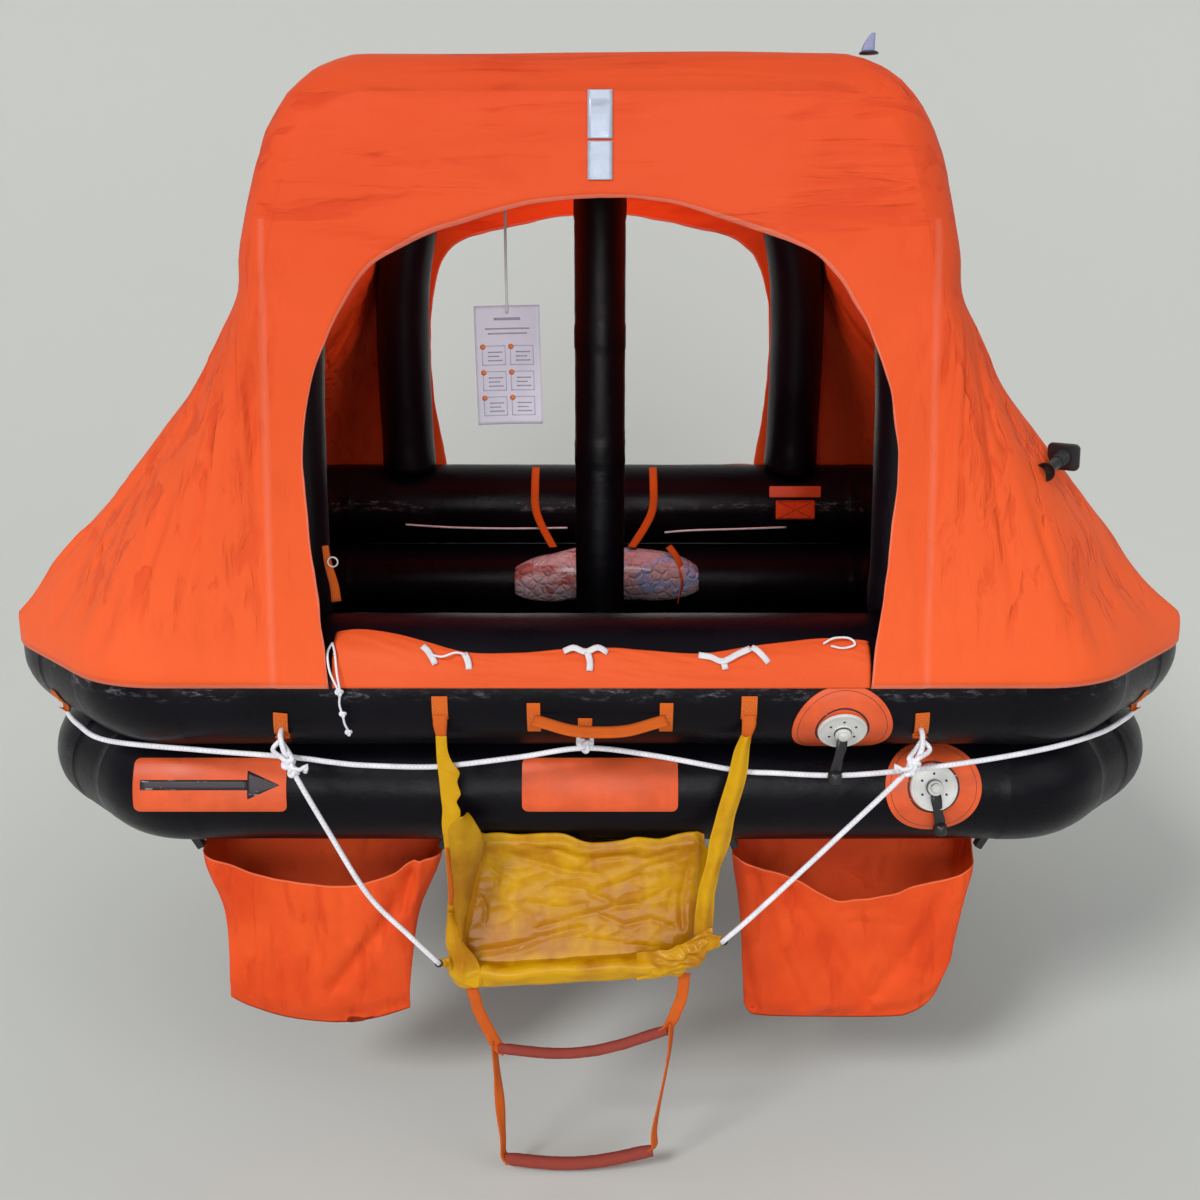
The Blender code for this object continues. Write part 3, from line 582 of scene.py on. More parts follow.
def vinylSheet(name, tint=1.0):
    # coated cloth that creases sharply
    paint = Paint(name, (0.60, 0.33, 0.006), 0.36, **{"Coat Roughness": 0.16, "Specular IOR Level": 0.16})
    where = paint.coords()
    wide = paint.cloud(where, 9.0, 5.0, 0.55)
    fibres = paint.cloud(paint.coords(scale=(1.0, 1.0, 0.3)), 26.0, 4.0, 0.6, 0.4)
    _, _, height = paint.axes(where)
    # painted highlight: the sheet is lighter towards the hems at its top and foot
    hemHighlight = paint.ramp(abs(height + 0.105), 0.095, 0.135)
    shade = paint.ramp(wide * 0.7 + fibres * 0.3 + hemHighlight * 0.16, 0.40, 0.68)
    paint.put(
        "Base Color", paint.blend(shade, (0.40 * tint, 0.148 * tint, 0.001), (0.60 * tint, 0.315 * tint, 0.002))
    )
    paint.put("Roughness", paint.ramp(wide, 0.3, 0.7, (0.30, 0.46)))
    paint.put("Coat Weight", paint.ramp(wide, 0.35, 0.7, (0.22, 0.05)))
    sharp = 1 - abs(paint.cloud(paint.coords(scale=(1.0, 1.8, 2.0)), 15.0, 2.0, 0.5, 0.6) - 0.5) * 5
    paint.bump(fibres * 0.45 + sharp * 0.30, 0.0028, 0.8)
    return paint.material


def webbingBand(name, light=(0.80, 0.17, 0.016), dark=(0.50, 0.075, 0.008)):
    paint = Paint(name, light, 0.7, **{"Specular IOR Level": 0.2})
    u, v, _ = paint.axes(paint.coords("UV"))
    ribs = (u * (2 * math.pi / 0.0022)).sine() * 0.5 + 0.5
    threads = ((v + abs((u * 260.0).work("FRACT") - 0.5) * 0.004) * (2 * math.pi / 0.0018)).sine() * 0.5 + 0.5
    soil = paint.cloud(paint.coords(), 26.0, 4.0, 0.6)
    paint.put("Base Color", paint.blend((ribs * threads * 0.5 + soil * 0.5), dark, light))
    paint.put("Roughness", paint.ramp(soil, 0.3, 0.7, (0.6, 0.8)))
    paint.bump(ribs * 0.5 + threads * 0.5, 0.0006, 0.8)
    return paint.material


def ropeFinish(name, colour=(0.78, 0.78, 0.83)):
    paint = Paint(name, colour, 0.68, **{"Sheen Weight": 0.2})
    u, v, _ = paint.axes(paint.coords("UV"))
    girth = 2 * math.pi * 0.005
    left = ((v / 0.016 + u / girth) * (2 * math.pi * 2)).sine()
    right = ((v / 0.016 - u / girth) * (2 * math.pi * 2)).sine()
    strands = left.work("MAXIMUM", right) * 0.5 + 0.5
    soil = paint.cloud(paint.coords(), 30.0, 4.0, 0.6)
    paint.put(
        "Base Color",
        paint.blend(strands * 0.5 + paint.ramp(soil, 0.35, 0.7) * 0.5, (0.60, 0.60, 0.66), (0.86, 0.86, 0.90))
    )
    paint.bump(strands, 0.0006, 0.6)
    return paint.material


def whiteTape(name):
    paint = Paint(name, (0.76, 0.75, 0.78), 0.65)
    u, v, _ = paint.axes(paint.coords("UV"))
    threads = (v * (2 * math.pi / 0.0014)).sine() * (u * (2 * math.pi / 0.0014)).sine() * 0.5 + 0.5
    soil = paint.cloud(paint.coords(), 40.0, 4.0, 0.6)
    paint.put("Base Color", paint.blend(soil, (0.60, 0.57, 0.60), (0.86, 0.86, 0.88)))
    paint.bump(threads, 0.0004, 0.7)
    return paint.material


def printedSheet(name, colour=(0.72, 0.105, 0.030), wear=(0.70, 0.36, 0.26)):
    # smooth labels, a little scratched
    paint = Paint(name, colour, 0.42, **{"Specular IOR Level": 0.25})
    where = paint.coords()
    soil = paint.cloud(where, 12.0, 5.0, 0.6)
    scratch = paint.cloud(paint.coords(scale=(2, 16, 16)), 14.0, 6.0, 0.7)
    base = paint.blend(
        paint.ramp(soil, 0.35, 0.65), tuple(c * 0.86 for c in colour), tuple(min(1.0, c * 1.06) for c in colour)
    )
    paint.put("Base Color", paint.blend(paint.ramp(scratch, 0.70, 0.76, (0.0, 0.4)), base, wear))
    paint.put("Roughness", paint.ramp(soil, 0.3, 0.7, (0.34, 0.5)))
    paint.bump(soil + paint.cloud(where, 240.0, 2.0, 0.5) * 0.3, 0.0007, 0.6)
    return paint.material


def blackPrintAndShade(name):
    paint = Paint(name, (0.018, 0.012, 0.018), 0.45)
    scratch = paint.cloud(paint.coords(scale=(3, 18, 18)), 9.0, 6.0, 0.7)
    paint.put(
        "Base Color",
        paint.blend(paint.ramp(scratch, 0.60, 0.66, (0.0, 0.8)), (0.020, 0.013, 0.020), (0.52, 0.42, 0.42))
    )
    paint.put("Roughness", paint.ramp(scratch, 0.3, 0.7, (0.38, 0.55)))
    return paint.material


def mouldedPlastic(name, colour, roughness=0.4, speck=0.12):
    paint = Paint(name, colour, roughness)
    where = paint.coords()
    soil = paint.cloud(where, 35.0, 4.0, 0.6)
    paint.put(
        "Base Color",
        paint.blend(
            soil, tuple(c * (1 - speck * 2) for c in colour), tuple(min(1.0, c * (1 + speck)) for c in colour)
        )
    )
    paint.put("Roughness", paint.ramp(soil, 0.3, 0.7, (roughness - 0.06, roughness + 0.1)))
    paint.bump(paint.cloud(where, 420.0, 2.0, 0.5), 0.0002, 0.5)
    return paint.material


# each finish with the slot it usually fills
looks = {
    "tubes": (blackRubber("tubeRubber", 0.22, 0.30, True), "black_fabric"),
    "arches": (blackRubber("archRubber", 0.30, 0.34, sheen=0.30), "black_fabric"),
    "floor": (blackRubber("floorRubber", 0.35, 0.5), "floor_fabric"),
    "canopy": (canopyCloth("canopyCloth", seams=True), "orange_fabric"),
    "flap": (canopyCloth("flapCloth", 0.88), "orange_fabric"),
    "pockets": (pocketCloth("pocketCloth"), "pocket_fabric"),
    "ramp": (vinylSheet("rampVinyl"), "yellow_sheet"),
    "rampShade": (vinylSheet("rampVinylShade", 0.74), "yellow_sheet"),
    "webbing": (webbingBand("orangeWebbing"), "webbing"),
    "rung": (webbingBand("rungSleeve", (0.42, 0.085, 0.060), (0.20, 0.026, 0.018)), "rung_tube"),
    "rope": (ropeFinish("whiteRope"), "rope"),
    "tape": (whiteTape("whiteTape"), "webbing"),
    "label": (printedSheet("labelSheet"), "label_orange"),
    # black print, also used for the painted shadow ring round each valve disc
    "print": (blackPrintAndShade("blackPrintAndShade"), "label_orange"),
    "thread": (mouldedPlastic("paleThread", (0.78, 0.27, 0.08), 0.7), "webbing"),
    "blackPart": (mouldedPlastic("blackMoulding", (0.014, 0.014, 0.016), 0.38), "black_plastic"),
    "greyPart": (mouldedPlastic("greyMoulding", (0.66, 0.66, 0.64), 0.36), "valve_plastic"),
}
print("finishes made")

# Ropes come first: lifelines in festoons round the raft, bridles down to the ramp

ropeSizes = {"radius": 0.005, "step": 0.012, "sides": 12}
lifelineRoute = (
    (-1.0508, -0.7358, 0.2352),
    (-1.0620, -0.7470, 0.2210),
    (-1.0200, -0.8000, 0.2120),
    (-0.9367, -0.8700, 0.2075),
    (-0.7446, -0.9250, 0.2113),
    (-0.5727, -0.9450, 0.2057),
    (-0.4994, -0.9450, 0.1958),
    (-0.4444, -0.9440, 0.1893),
    (-0.3341, -0.9400, 0.1836),
    (-0.2690, -0.9400, 0.1876),
    (-0.1481, -0.9400, 0.2036),
    (-0.0277, -0.9400, 0.2215),
    (0.0925, -0.9400, 0.2076),
    (0.2507, -0.9400, 0.1776),
    (0.3253, -0.9400, 0.1715),
    (0.4638, -0.9450, 0.1697),
    (0.6478, -0.9450, 0.1898),
    (0.8237, -0.9200, 0.2100),
    (0.9500, -0.8580, 0.2160),
    (1.0300, -0.7850, 0.2170),
    (1.0620, -0.7470, 0.2210),
    (1.0508, -0.7358, 0.2352),
)
bridleRoutes = {
    "left": (
        (-0.5850, -0.9409, 0.2605),
        (-0.5850, -0.9558, 0.2527),
        (-0.5640, -0.9820, 0.2050),
        (-0.4981, -0.9950, 0.0775),
        (-0.4310, -0.9980, -0.0500),
        (-0.3595, -0.9960, -0.1350),
        (-0.3060, -0.9880, -0.2000),
    ),
    "right": (
        (0.5900, -0.9409, 0.2605),
        (0.5900, -0.9558, 0.2527),
        (0.5681, -0.9820, 0.2050),
        (0.4300, -0.9950, 0.0600),
        (0.2900, -0.9950, -0.0900),
        (0.2300, -0.9880, -0.1550),
    ),
}


def ropePiece(name, route, node):
    line = smoothLine(route, ropeSizes["step"])
    mesh = tubeMesh(line, ropeSizes["radius"], ropeSizes["sides"])
    return makePiece(name, mesh, "rope", None, standsFor=(node,)), line


lifelines, bridles = {}, {}
for label, flip in (("Front", 1), ("Rear", -1)):
    route = [(x * flip, y * flip, z) for x, y, z in lifelineRoute]
    lifelines[label] = ropePiece("lifeline" + label, route, "lifeline_" + label.lower())
    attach(lifelines[label][0], "raft")
for side, route in bridleRoutes.items():
    bridles[side] = ropePiece("bridle" + side.capitalize(), route, "bridle_" + side)


def knotMesh(centre, size, turn, ropeR=0.0045):
    # a tight overhand knot
    spots = []
    for k in range(48):
        t = 2 * math.pi * k / 48
        x, y = math.sin(t) + 2 * math.sin(2 * t), math.cos(t) - 2 * math.cos(2 * t)
        spots.append(Vector((x / 3, y / 3, -math.sin(3 * t) / 2.4)) * size)
    line = [centre + turn @ spot for spot in spots]
    return tubeMesh(line, ropeR, 10, cyclic=True)


def loopMesh(points, ropeR=0.0045, step=0.006):
    return tubeMesh(smoothLine(points, step), ropeR, 10)


facing = Matrix.Rotation(math.radians(90), 3, "X")
knots = {}
tabSpots = {"left": (-0.585, 0.2605, -0.28), "centre": (-0.0277, 0.2480, -0.05), "right": (0.590, 0.2605, 0.22)}
for side in ("left", "right"):
    sign = -1 if side == "left" else 1
    x0 = tabSpots[side][0]
    top = Vector((x0, -0.9560, 0.2440))
    bottom = Vector(bridleRoutes[side][2]) + Vector((0, -0.001, 0.004))
    tail = ((0, -0.008, -0.004), (-0.022, -0.014, -0.006), (-0.034, -0.013, 0.002), (-0.030, -0.013, -0.012))
    parts = [
        loopMesh([top, top + Vector((0.013, -0.008, -0.016)), bottom + Vector((0.007, -0.007, 0.012)), bottom]),
        loopMesh([top, top + Vector((-0.013, -0.008, -0.016)), bottom + Vector((-0.009, -0.007, 0.012)), bottom]),
        knotMesh(bottom + Vector((0, -0.004, 0.0)), 0.0105, Matrix.Rotation(sign * 0.5, 3, "Y") @ facing),
        knotMesh(
            bottom + Vector((-sign * 0.006, -0.004, -0.014)), 0.0085, Matrix.Rotation(-sign * 0.8, 3, "Y") @ facing
        ),
        loopMesh([bottom + Vector((sign * x, y, z)) for x, y, z in tail], 0.004),
    ]
    knots[side] = makePiece("bridleKnot" + side.capitalize(), mergeMeshes(parts), "rope", "raft")
for flip, label in ((1, "Front"), (-1, "Rear")):
    x0, y0, z0 = -0.0277 * flip, -0.940 * flip, 0.2235
    bight = ((-0.012, 0, 0.004), (-0.010, 0.002, 0.022), (0.010, 0.002, 0.022), (0.012, 0, 0.004))
    parts = [
        knotMesh(Vector((x0, y0 - 0.002 * flip, z0 + 0.004)), 0.0115, facing),
        loopMesh([(x0 + x, y0 + y * flip, z0 + z) for x, y, z in bight]),
    ]
    knots["centre" + label] = makePiece("lifelineKnot" + label, mergeMeshes(parts), "rope", "raft")
for label, (piece, line) in lifelines.items():
    declareCord(piece, line, 2 * ropeSizes["radius"], "hanging", with_pieces=[knots["centre" + label]])
for side, (piece, line) in bridles.items():
    tuple(line[2])
    tuple(line[-1])
    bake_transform(piece)
    declareCord(piece, line, 2 * ropeSizes["radius"], "hanging", with_pieces=[knots[side]])
print("ropes made")

# Buoyancy tubes

tubeLooks = {"sides": 56, "step": 0.024, "waver": 0.0011, "tapeHalf": 0.026, "tapeLift": 0.0009}


def ringCorners(halfX, halfY, cut):
    right = [(halfX - cut, -halfY), (halfX, cut - halfY), (halfX, halfY - cut), (halfX - cut, halfY)]
    return right + [(-x, y) for x, y in reversed(right)]


def ringLine(halfX, halfY, cut, bend, z, step, tapes):
    # the tube's centreline with a close pair of points at each joint tape's edges
    corners = [Vector((x, y, z)) for x, y in ringCorners(halfX, halfY, cut)]
    line, bends = [], []
    for i, here in enumerate(corners):
        before, after = corners[i - 1], corners[(i + 1) % 8]
        start = here + (before - here).normalized() * (bend / 2)
        end = here + (after - here).normalized() * (bend / 2)
        bends.append((start, here, end))
    for i, (start, here, end) in enumerate(bends):
        for k in range(9):
            t = k / 8
            line.append(start * (1 - t) ** 2 + here * 2 * t * (1 - t) + end * t * t)
        goal = bends[(i + 1) % 8][0]
        length = (goal - end).length
        spots = [length * k / max(1, round(length / step)) for k in range(1, max(1, round(length / step)))]
        for edge in (tapes, length - tapes):
            spots += [edge - 0.0012, edge + 0.0012]
        line += [end.lerp(goal, s / length) for s in sorted(spots) if 0 < s < length]
    return line


def ringTube(name, node, tube, halfX, halfY, cut, seed):
    corners = [Vector((x, y, tube["z"])) for x, y in ringCorners(halfX, halfY, cut)]
    tapes = tubeLooks["tapeHalf"]
    line = ringLine(halfX, halfY, cut, raft["bend"], tube["z"], tubeLooks["step"], tapes)

    def radiusAt(w, angle):
        here = line[round(w * len(line)) % len(line)]
        near = min((here - corner).length for corner in corners)
        lift = tubeLooks["tapeLift"] if near < raft["bend"] / 2 + tapes else 0.0
        spot = Vector((here.x, here.y, 0.18 * math.sin(angle)))
        waver = ripple(spot, (5, 5, 16), seed) + 0.5 * ripple(spot, (17, 17, 30), seed + 4)
        return tube["r"] - 0.0004 + lift + tubeLooks["waver"] * waver

    makePiece(name, tubeMesh(line, radiusAt, tubeLooks["sides"], Vector((0, 0, 1)), True), "tubes", standsFor=(node,))


ringTube("upperTube", "upper_tube", upperTube, raft["halfX"], raft["halfY"], raft["cut"], 1.0)
ringTube("lowerTube", "lower_tube", lowerTube, raft["lowerX"], raft["lowerY"], raft["lowerCut"], 7.0)


def creaseStrip():
    # between the two centrelines, at the height where the tubes touch
    share = raft["lowerR"] / (raft["lowerR"] + raft["tubeR"])
    pairs = (("lowerX", "halfX"), ("lowerY", "halfY"), ("lowerCut", "cut"), ("lowerZ", "upperZ"))
    halfX, halfY, cut, z = (raft[low] + (raft[high] - raft[low]) * share for low, high in pairs)
    line = ringLine(halfX, halfY, cut, raft["bend"], z, 0.05, tubeLooks["tapeHalf"])
    makePiece("creaseStrip", tubeMesh(line, 0.011, 10, Vector((0, 0, 1)), True), "arches")


creaseStrip()


def floorPiece():
    chord = math.sqrt(raft["lowerR"] ** 2 - (raft["lowerZ"] - raft["floorTop"]) ** 2) + 0.001
    corners = ringCorners(raft["lowerX"] - chord, raft["lowerY"] - chord, raft["lowerCut"] - chord * 0.586)
    rim = Track([Vector((x, y, 0)) for x, y in corners + corners[:1]])

    def placeAt(u, w):
        edge = rim.at(u) * (w if w > 0.001 else 0.0)
        sag = 0.0012 * math.cos(edge.x * 9) * math.cos(edge.y * 11) * (1 - w**4) + 0.0008 * ripple(edge, (7, 7, 1), 3)
        return Vector((edge.x, edge.y, raft["floorTop"] - 0.003 + sag))

    bm = sheetMesh(128, 30, placeAt, (5.0, 1.0), closed=True)
    floor = makePiece("floorSheet", bm, "floor", thickness=0.003, standsFor=("floor",))


floorPiece()
print("tubes and floor made")

# Arches and pillar

archLine = (
    (0.5925, raft["archFootZ"]),
    (0.5925, 0.75),
    (0.587, 0.93),
    (0.573, 1.06),
    (0.540, 1.205),
    (0.500, 1.303),
    (0.442, 1.348),
    (0.36, raft["archTopZ"]),
    (0.0, raft["archTopZ"]),
)
archHalf = smoothLine([(x, 0.0, z) for x, z in archLine], 0.018)


def archY(z):
    share = (raft["archTopZ"] - z) / (raft["archTopZ"] - raft["archFootZ"])
    return raft["archY"] + (raft["archFootY"] - raft["archY"]) * share


def archPiece(name, node, side, seed):
    line = [Vector((p.x, side * archY(p.z), p.z)) for p in archHalf]
    line += [Vector((-p.x, p.y, p.z)) for p in reversed(line[:-1])]
    count = len(line) - 1

    def radiusAt(w, angle):
        here = line[round(w * count)]
        bend = math.exp(-(((abs(here.x) - 0.50) / 0.09) ** 2)) * step01(here.z, 1.0, 1.2)
        rings = bend * 0.0018 * math.sin(w * count * 0.9) * max(0.0, -math.cos(angle))
        foot = 0.0022 if here.z < raft["archFootZ"] + 0.07 else 0.0
        waver = 0.001 * ripple((here.x, here.z, math.sin(angle) * 0.2), (8, 12, 20), seed)
        return raft["archR"] - 0.0022 + foot + rings + waver

    makePiece(name, tubeMesh(line, radiusAt, 36, Vector((0, 1, 0))), "arches", standsFor=(node,))


archPiece("frontArch", "front_arch", -1, 2.0)
archPiece("rearArch", "rear_arch", 1, 5.0)


def pillarPiece():
    top = raft["archTopZ"] + raft["wrap"] - 0.0045
    count = 150
    line = [
        Vector((0, 0, raft["floorTop"] + 0.0006 + (top - raft["floorTop"]) * k / count)) for k in range(count + 1)
    ]
    bands = (0.16, 0.62, 0.90, 1.20)

    def radiusAt(w, angle):
        z = line[round(w * count)].z
        band = max([0.0014 if abs(z - b) < 0.030 else 0.0 for b in bands])
        pucker = sum(math.exp(-(((z - b) / 0.05) ** 2)) for b in bands)
        ends = 1 - 0.10 * step01(z, top - 0.05, top) - 0.06 * step01(-z, 0.0, 0.014)
        waver = 0.0012 * ripple((math.cos(angle), math.sin(angle), z), (2, 2, 26), 9) * (0.35 + pucker)
        return (raft["pillarR"] - 0.0022 + band + waver) * ends

    makePiece("centrePillar", tubeMesh(line, radiusAt, 40), "arches", standsFor=("centre_pillar",))


pillarPiece()
print("arches and pillar made")

# Canopy: one sheet over both arches, from the front entrance's edge to the rear one's

canopyLooks = {
    "halfStations": 104,
    "panelColumns": 14,
    "cornerColumns": 60,
    "sideColumns": 40,
    "kneeZ": 1.085,
    "thickness": 0.0016,
    "fold": 0.0105,
    "sag": 0.006,
    "hollow": {"depth": 0.034, "z": 0.50, "spread": 0.075},
}
endFlare = (
    (0.345, 1.2005), (0.372, 1.194), (0.400, 1.1785), (0.440, 1.145), (0.523, 1.076), (0.625, 0.972), (0.733, 0.871),
    (0.830, 0.790), (0.928, 0.723), (1.010, 0.682), (1.085, 0.6585),
)
frontOpening = (
    (0.490, 0.345), (0.500, 0.450), (0.522, 0.640), (0.526, 0.780), (0.495, 0.920), (0.415, 1.065), (0.330, 1.120),
    (0.250, 1.148), (0.120, 1.185), (0.000, 1.195),
)
rearOpening = (
    (0.490, 0.345), (0.500, 0.450), (0.522, 0.640), (0.526, 0.800), (0.512, 0.950), (0.472, 1.070), (0.400, 1.130),
    (0.250, 1.165), (0.120, 1.190), (0.000, 1.200),
)


def canopyY(z):
    low = raft["halfY"] + raft["hemR"]
    high = raft["archY"] + raft["wrap"]
    return low + (high - low) * (z - raft["hemZ"]) / (raft["archTopZ"] - raft["hemZ"])


flareLine = smoothLine([(x, 0.0, z) for z, x in endFlare], 0.01)
openingLines = {
    -1: Track(smoothLine([(x, 0.0, z) for x, z in frontOpening], 0.01)),
    1: Track(smoothLine([(x, 0.0, z) for x, z in rearOpening], 0.01)),
}


def cornerTrack(z, flareX):
    # plan line from the front seam round the raft's corner to the side, at one height
    kneeX = endFlare[-1][1]
    share = (flareX - kneeX) / (endFlare[0][1] - kneeX)
    hemB = Vector((raft["halfX"] - raft["cut"] + raft["hemR"] * 0.414, 0))
    hemC = Vector((0, raft["cut"] - raft["halfY"] - raft["hemR"] * 0.414))
    y = -canopyY(z)
    seam = raft["seamX"]
    low = Vector((seam + 0.03 + share * (hemB.x - seam - 0.03), y))
    kneeY = -archY(canopyLooks["kneeZ"])
    far = Vector((flareX, kneeY + share * (hemC.y - kneeY)))
    run = [Vector((seam, y))]
    for a, b in ((run[0], low), (far, low)):
        run.append(b + (a - b).normalized() * min(0.07, 0.35 * (b - a).length))
    run += [far + (low - far) * 0.1, far]
    return Track([(p.x, p.y, z) for p in smoothLine([(q.x, q.y, 0) for q in run], 0.01)])


def archOut(i):
    before, after = archHalf[max(i - 1, 0)], archHalf[min(i + 1, len(archHalf) - 1)]
    along = (after - before).normalized()
    return Vector((along.z, 0, -along.x)) if i < len(archHalf) - 1 else Vector((0, 0, 1))


plainRing = [
    Vector((p.x, p.y, 0))
    for p in ringLine(raft["halfX"], raft["halfY"], raft["cut"], raft["bend"], 0.0, 0.02, tubeLooks["tapeHalf"])
]
hemReach = raft["hemR"] * math.cos(math.radians(11.5)) + 0.0012


def besideTube(point):
    # low down the cloth never stands out past the tube that it is sealed to
    flat = Vector((point.x, point.y, 0))
    nearest = min(plainRing, key=lambda p: (p - flat).length_squared)
    away = flat - nearest
    if away.dot(nearest) > 0 and away.length > hemReach:
        held = nearest + away.normalized() * hemReach
        loose = step01(point.z, 0.40, 0.56)
        held = held.lerp(flat, loose)
        return Vector((held.x, held.y, point.z))
    return point


# how far the cloth wraps round an arch
wrapTurn = math.radians(80)


def wrapPoint(i, turn):
    centre = archHalf[i]
    out = centre + archOut(i) * (raft["wrap"] * math.cos(turn))
    middle = archY(centre.z)
    reach = (canopyY(min(out.z, raft["archTopZ"])) - middle) * math.sin(turn) / math.sin(wrapTurn)
    return Vector((out.x, -middle - reach, out.z))


kneeIndex = min(
    range(len(archHalf)), key=lambda i: abs((archHalf[i] + archOut(i) * raft["wrap"]).z - canopyLooks["kneeZ"])
)
roofTrack = Track(archHalf[kneeIndex:])
flareTrack = Track(flareLine)
endShare = flareTrack.length / (flareTrack.length + roofTrack.length)
kneeOpening = {}
for side, track in openingLines.items():
    kneeOpening[side] = min((k / 400 for k in range(401)), key=lambda s: abs(track.at(s).z - 1.03))


def wrapLine(i):
    shares = [k / canopyLooks["cornerColumns"] for k in range(canopyLooks["cornerColumns"] + 1)]
    return [wrapPoint(i, wrapTurn * (1 - share)) for share in shares]


def stationLine(share):
    # the sheet's front half at one station, from the entrance's edge to the outermost line
    if share <= endShare:
        local = share / endShare
        flare = flareTrack.at(local)
        corner = cornerTrack(flare.z, flare.x)
        seamPoint = corner.at(0)
        outer = [
            besideTube(corner.at(k / canopyLooks["cornerColumns"])) for k in range(canopyLooks["cornerColumns"] + 1)
        ]
        handover = step01(local, 0.86, 1.0)
        if handover > 0:
            outer = [
                a.lerp(Vector((b.x, b.y, b.z + a.z - canopyLooks["kneeZ"])), handover)
                for a, b in zip(outer, wrapLine(kneeIndex))
            ]
            seamPoint = outer[0]
    else:
        local = (share - endShare) / (1 - endShare)
        goal = roofTrack.at(local)
        i = min(range(kneeIndex, len(archHalf)), key=lambda k: (archHalf[k] - goal).length)
        shift = goal - archHalf[i]
        outer = [p + Vector((shift.x, 0, shift.z)) for p in wrapLine(i)]
        seamPoint = outer[0]
    return outer, seamPoint, local


def stationSection(share):
    outer, seamPoint, local = stationLine(share)
    halves = {}
    for side in (-1, 1):
        track = openingLines[side]
        knee = kneeOpening[side]
        edge = track.at(knee * local if share <= endShare else knee + (1 - knee) * local)
        edge = Vector((edge.x, -canopyY(edge.z), edge.z))
        panel = [edge.lerp(seamPoint, k / canopyLooks["panelColumns"]) for k in range(canopyLooks["panelColumns"])]
        halves[side] = panel + outer
    front = halves[-1]
    rear = [Vector((p.x, -p.y, p.z)) for p in reversed(halves[1])]
    middle = [front[-1].lerp(rear[0], k / canopyLooks["sideColumns"]) for k in range(1, canopyLooks["sideColumns"])]
    return front + middle + rear


# creases on the front half of the sheet: width, depth and the (x, z) points that each follows
canopyCreases = (
    (0.012, 0.50, ((0.608, 0.900), (0.613, 0.700), (0.600, 0.620))),
    (0.014, 0.55, ((0.640, 0.840), (0.646, 0.640), (0.653, 0.480))),
    (0.013, 0.60, ((0.564, 0.640), (0.578, 0.500), (0.584, 0.385))),
    (0.012, 0.45, ((0.735, 0.640), (0.745, 0.470))),
    (0.012, 0.40, ((0.690, 0.900), (0.705, 0.640))),
    (0.010, 0.40, ((0.800, 0.620), (0.845, 0.490))),
    (0.010, 0.35, ((0.865, 0.590), (0.905, 0.480))),
    (0.006, 0.42, ((-0.390, 1.374), (-0.300, 1.364), (-0.220, 1.360), (-0.130, 1.357))),
    (0.005, 0.32, ((-0.330, 1.408), (-0.200, 1.412), (-0.060, 1.406))),
    (0.005, 0.30, ((0.040, 1.398), (0.160, 1.404), (0.300, 1.396))),
    (0.006, 0.32, ((0.060, 1.350), (0.180, 1.352), (0.330, 1.360))),
    (0.006, 0.30, ((-0.420, 1.318), (-0.340, 1.306), (-0.270, 1.310))),
    (0.007, 0.40, ((-0.330, 1.262), (-0.240, 1.236), (-0.150, 1.222))),
    (0.007, 0.34, ((0.300, 1.282), (0.220, 1.262), (0.110, 1.262))),
    (0.009, 0.42, ((-0.450, 1.180), (-0.370, 1.172), (-0.300, 1.184))),
    (0.008, 0.34, ((-0.470, 1.140), (-0.400, 1.126))),
    (0.009, 0.34, ((0.350, 1.190), (0.420, 1.170), (0.480, 1.120))),
    (0.008, 0.45, ((-0.505, 1.230), (-0.500, 1.130))),
    (0.008, 0.40, ((-0.545, 1.220), (-0.548, 1.110))),
    (0.008, 0.36, ((0.530, 1.230), (0.540, 1.110))),
)


def canopyFold(point):
    # how far the cloth stands off its taut shape
    x, y, z = point
    sideX, sideY = math.copysign(1, x), math.copysign(1, y)
    knee = Vector((0.640, 0.790, 1.10))
    # distance along the outline, from the knee out to the corner and on round the end
    along = sideX * x - knee.x + max(0.0, knee.y - sideY * y)
    down = knee.z - z
    reach = math.hypot(along, down)
    fan = math.atan2(along, max(down, 0.03))
    near = step01(reach, 0.04, 0.22) * step01(down, -0.06, 0.10) * (1 - 0.5 * step01(reach, 0.62, 0.9))
    far = 0.30 + 0.70 * step01(along, -0.12, 0.02)
    fine = max(0.0, ripple((fan * 21, reach * 5.0, sideY * 5), (1, 1, 1), 17) - 0.06)
    wave = ripple((fan * 11, reach * 1.6, sideY * 3), (1, 1, 1), 11 + sideX)
    if sideX < 0:
        depth = near * far * (0.40 * wave - 1.50 * fine)
    else:
        depth = near * far * (0.55 * wave - 0.90 * fine)
        slant = crease((along * 7 + z * 5, z * 2 - along * 2, sideY), (1, 1, 1), 47)
        depth += 0.26 * slant * step01(along, 0.10, 0.3) * step01(0.80 - z, 0.0, 0.15)
    # beside the entrance the cloth draws in slanting folds from the arch
    beside = step01(-along, 0.02, 0.12) * step01(z, 0.80, 1.0) * (1 - step01(z, 1.20, 1.30))
    depth += 0.34 * beside * ripple((sideX * x * 9 - z * 9, sideX * x * 3 + z * 3, sideY), (1, 1, 1), 51)
    # level waves over the ridge and above the entrance
    top = step01(z, 1.18, 1.30)
    waves = 0.34 * ripple(point, (2.2, 9.0, 22.0), 31) + 0.20 * ripple(point, (4.0, 20.0, 46.0), 37)
    depth += top * waves * (1 - 0.5 * step01(z, 1.41, 1.44))
    depth += 0.30 * ripple(point, (5, 5, 6), 41)
    if sideY < 0 or z < 1.30:
        depth += 0.62 * creaseDepth(-sideY * x, z, canopyCreases)
    return depth * canopyLooks["fold"]


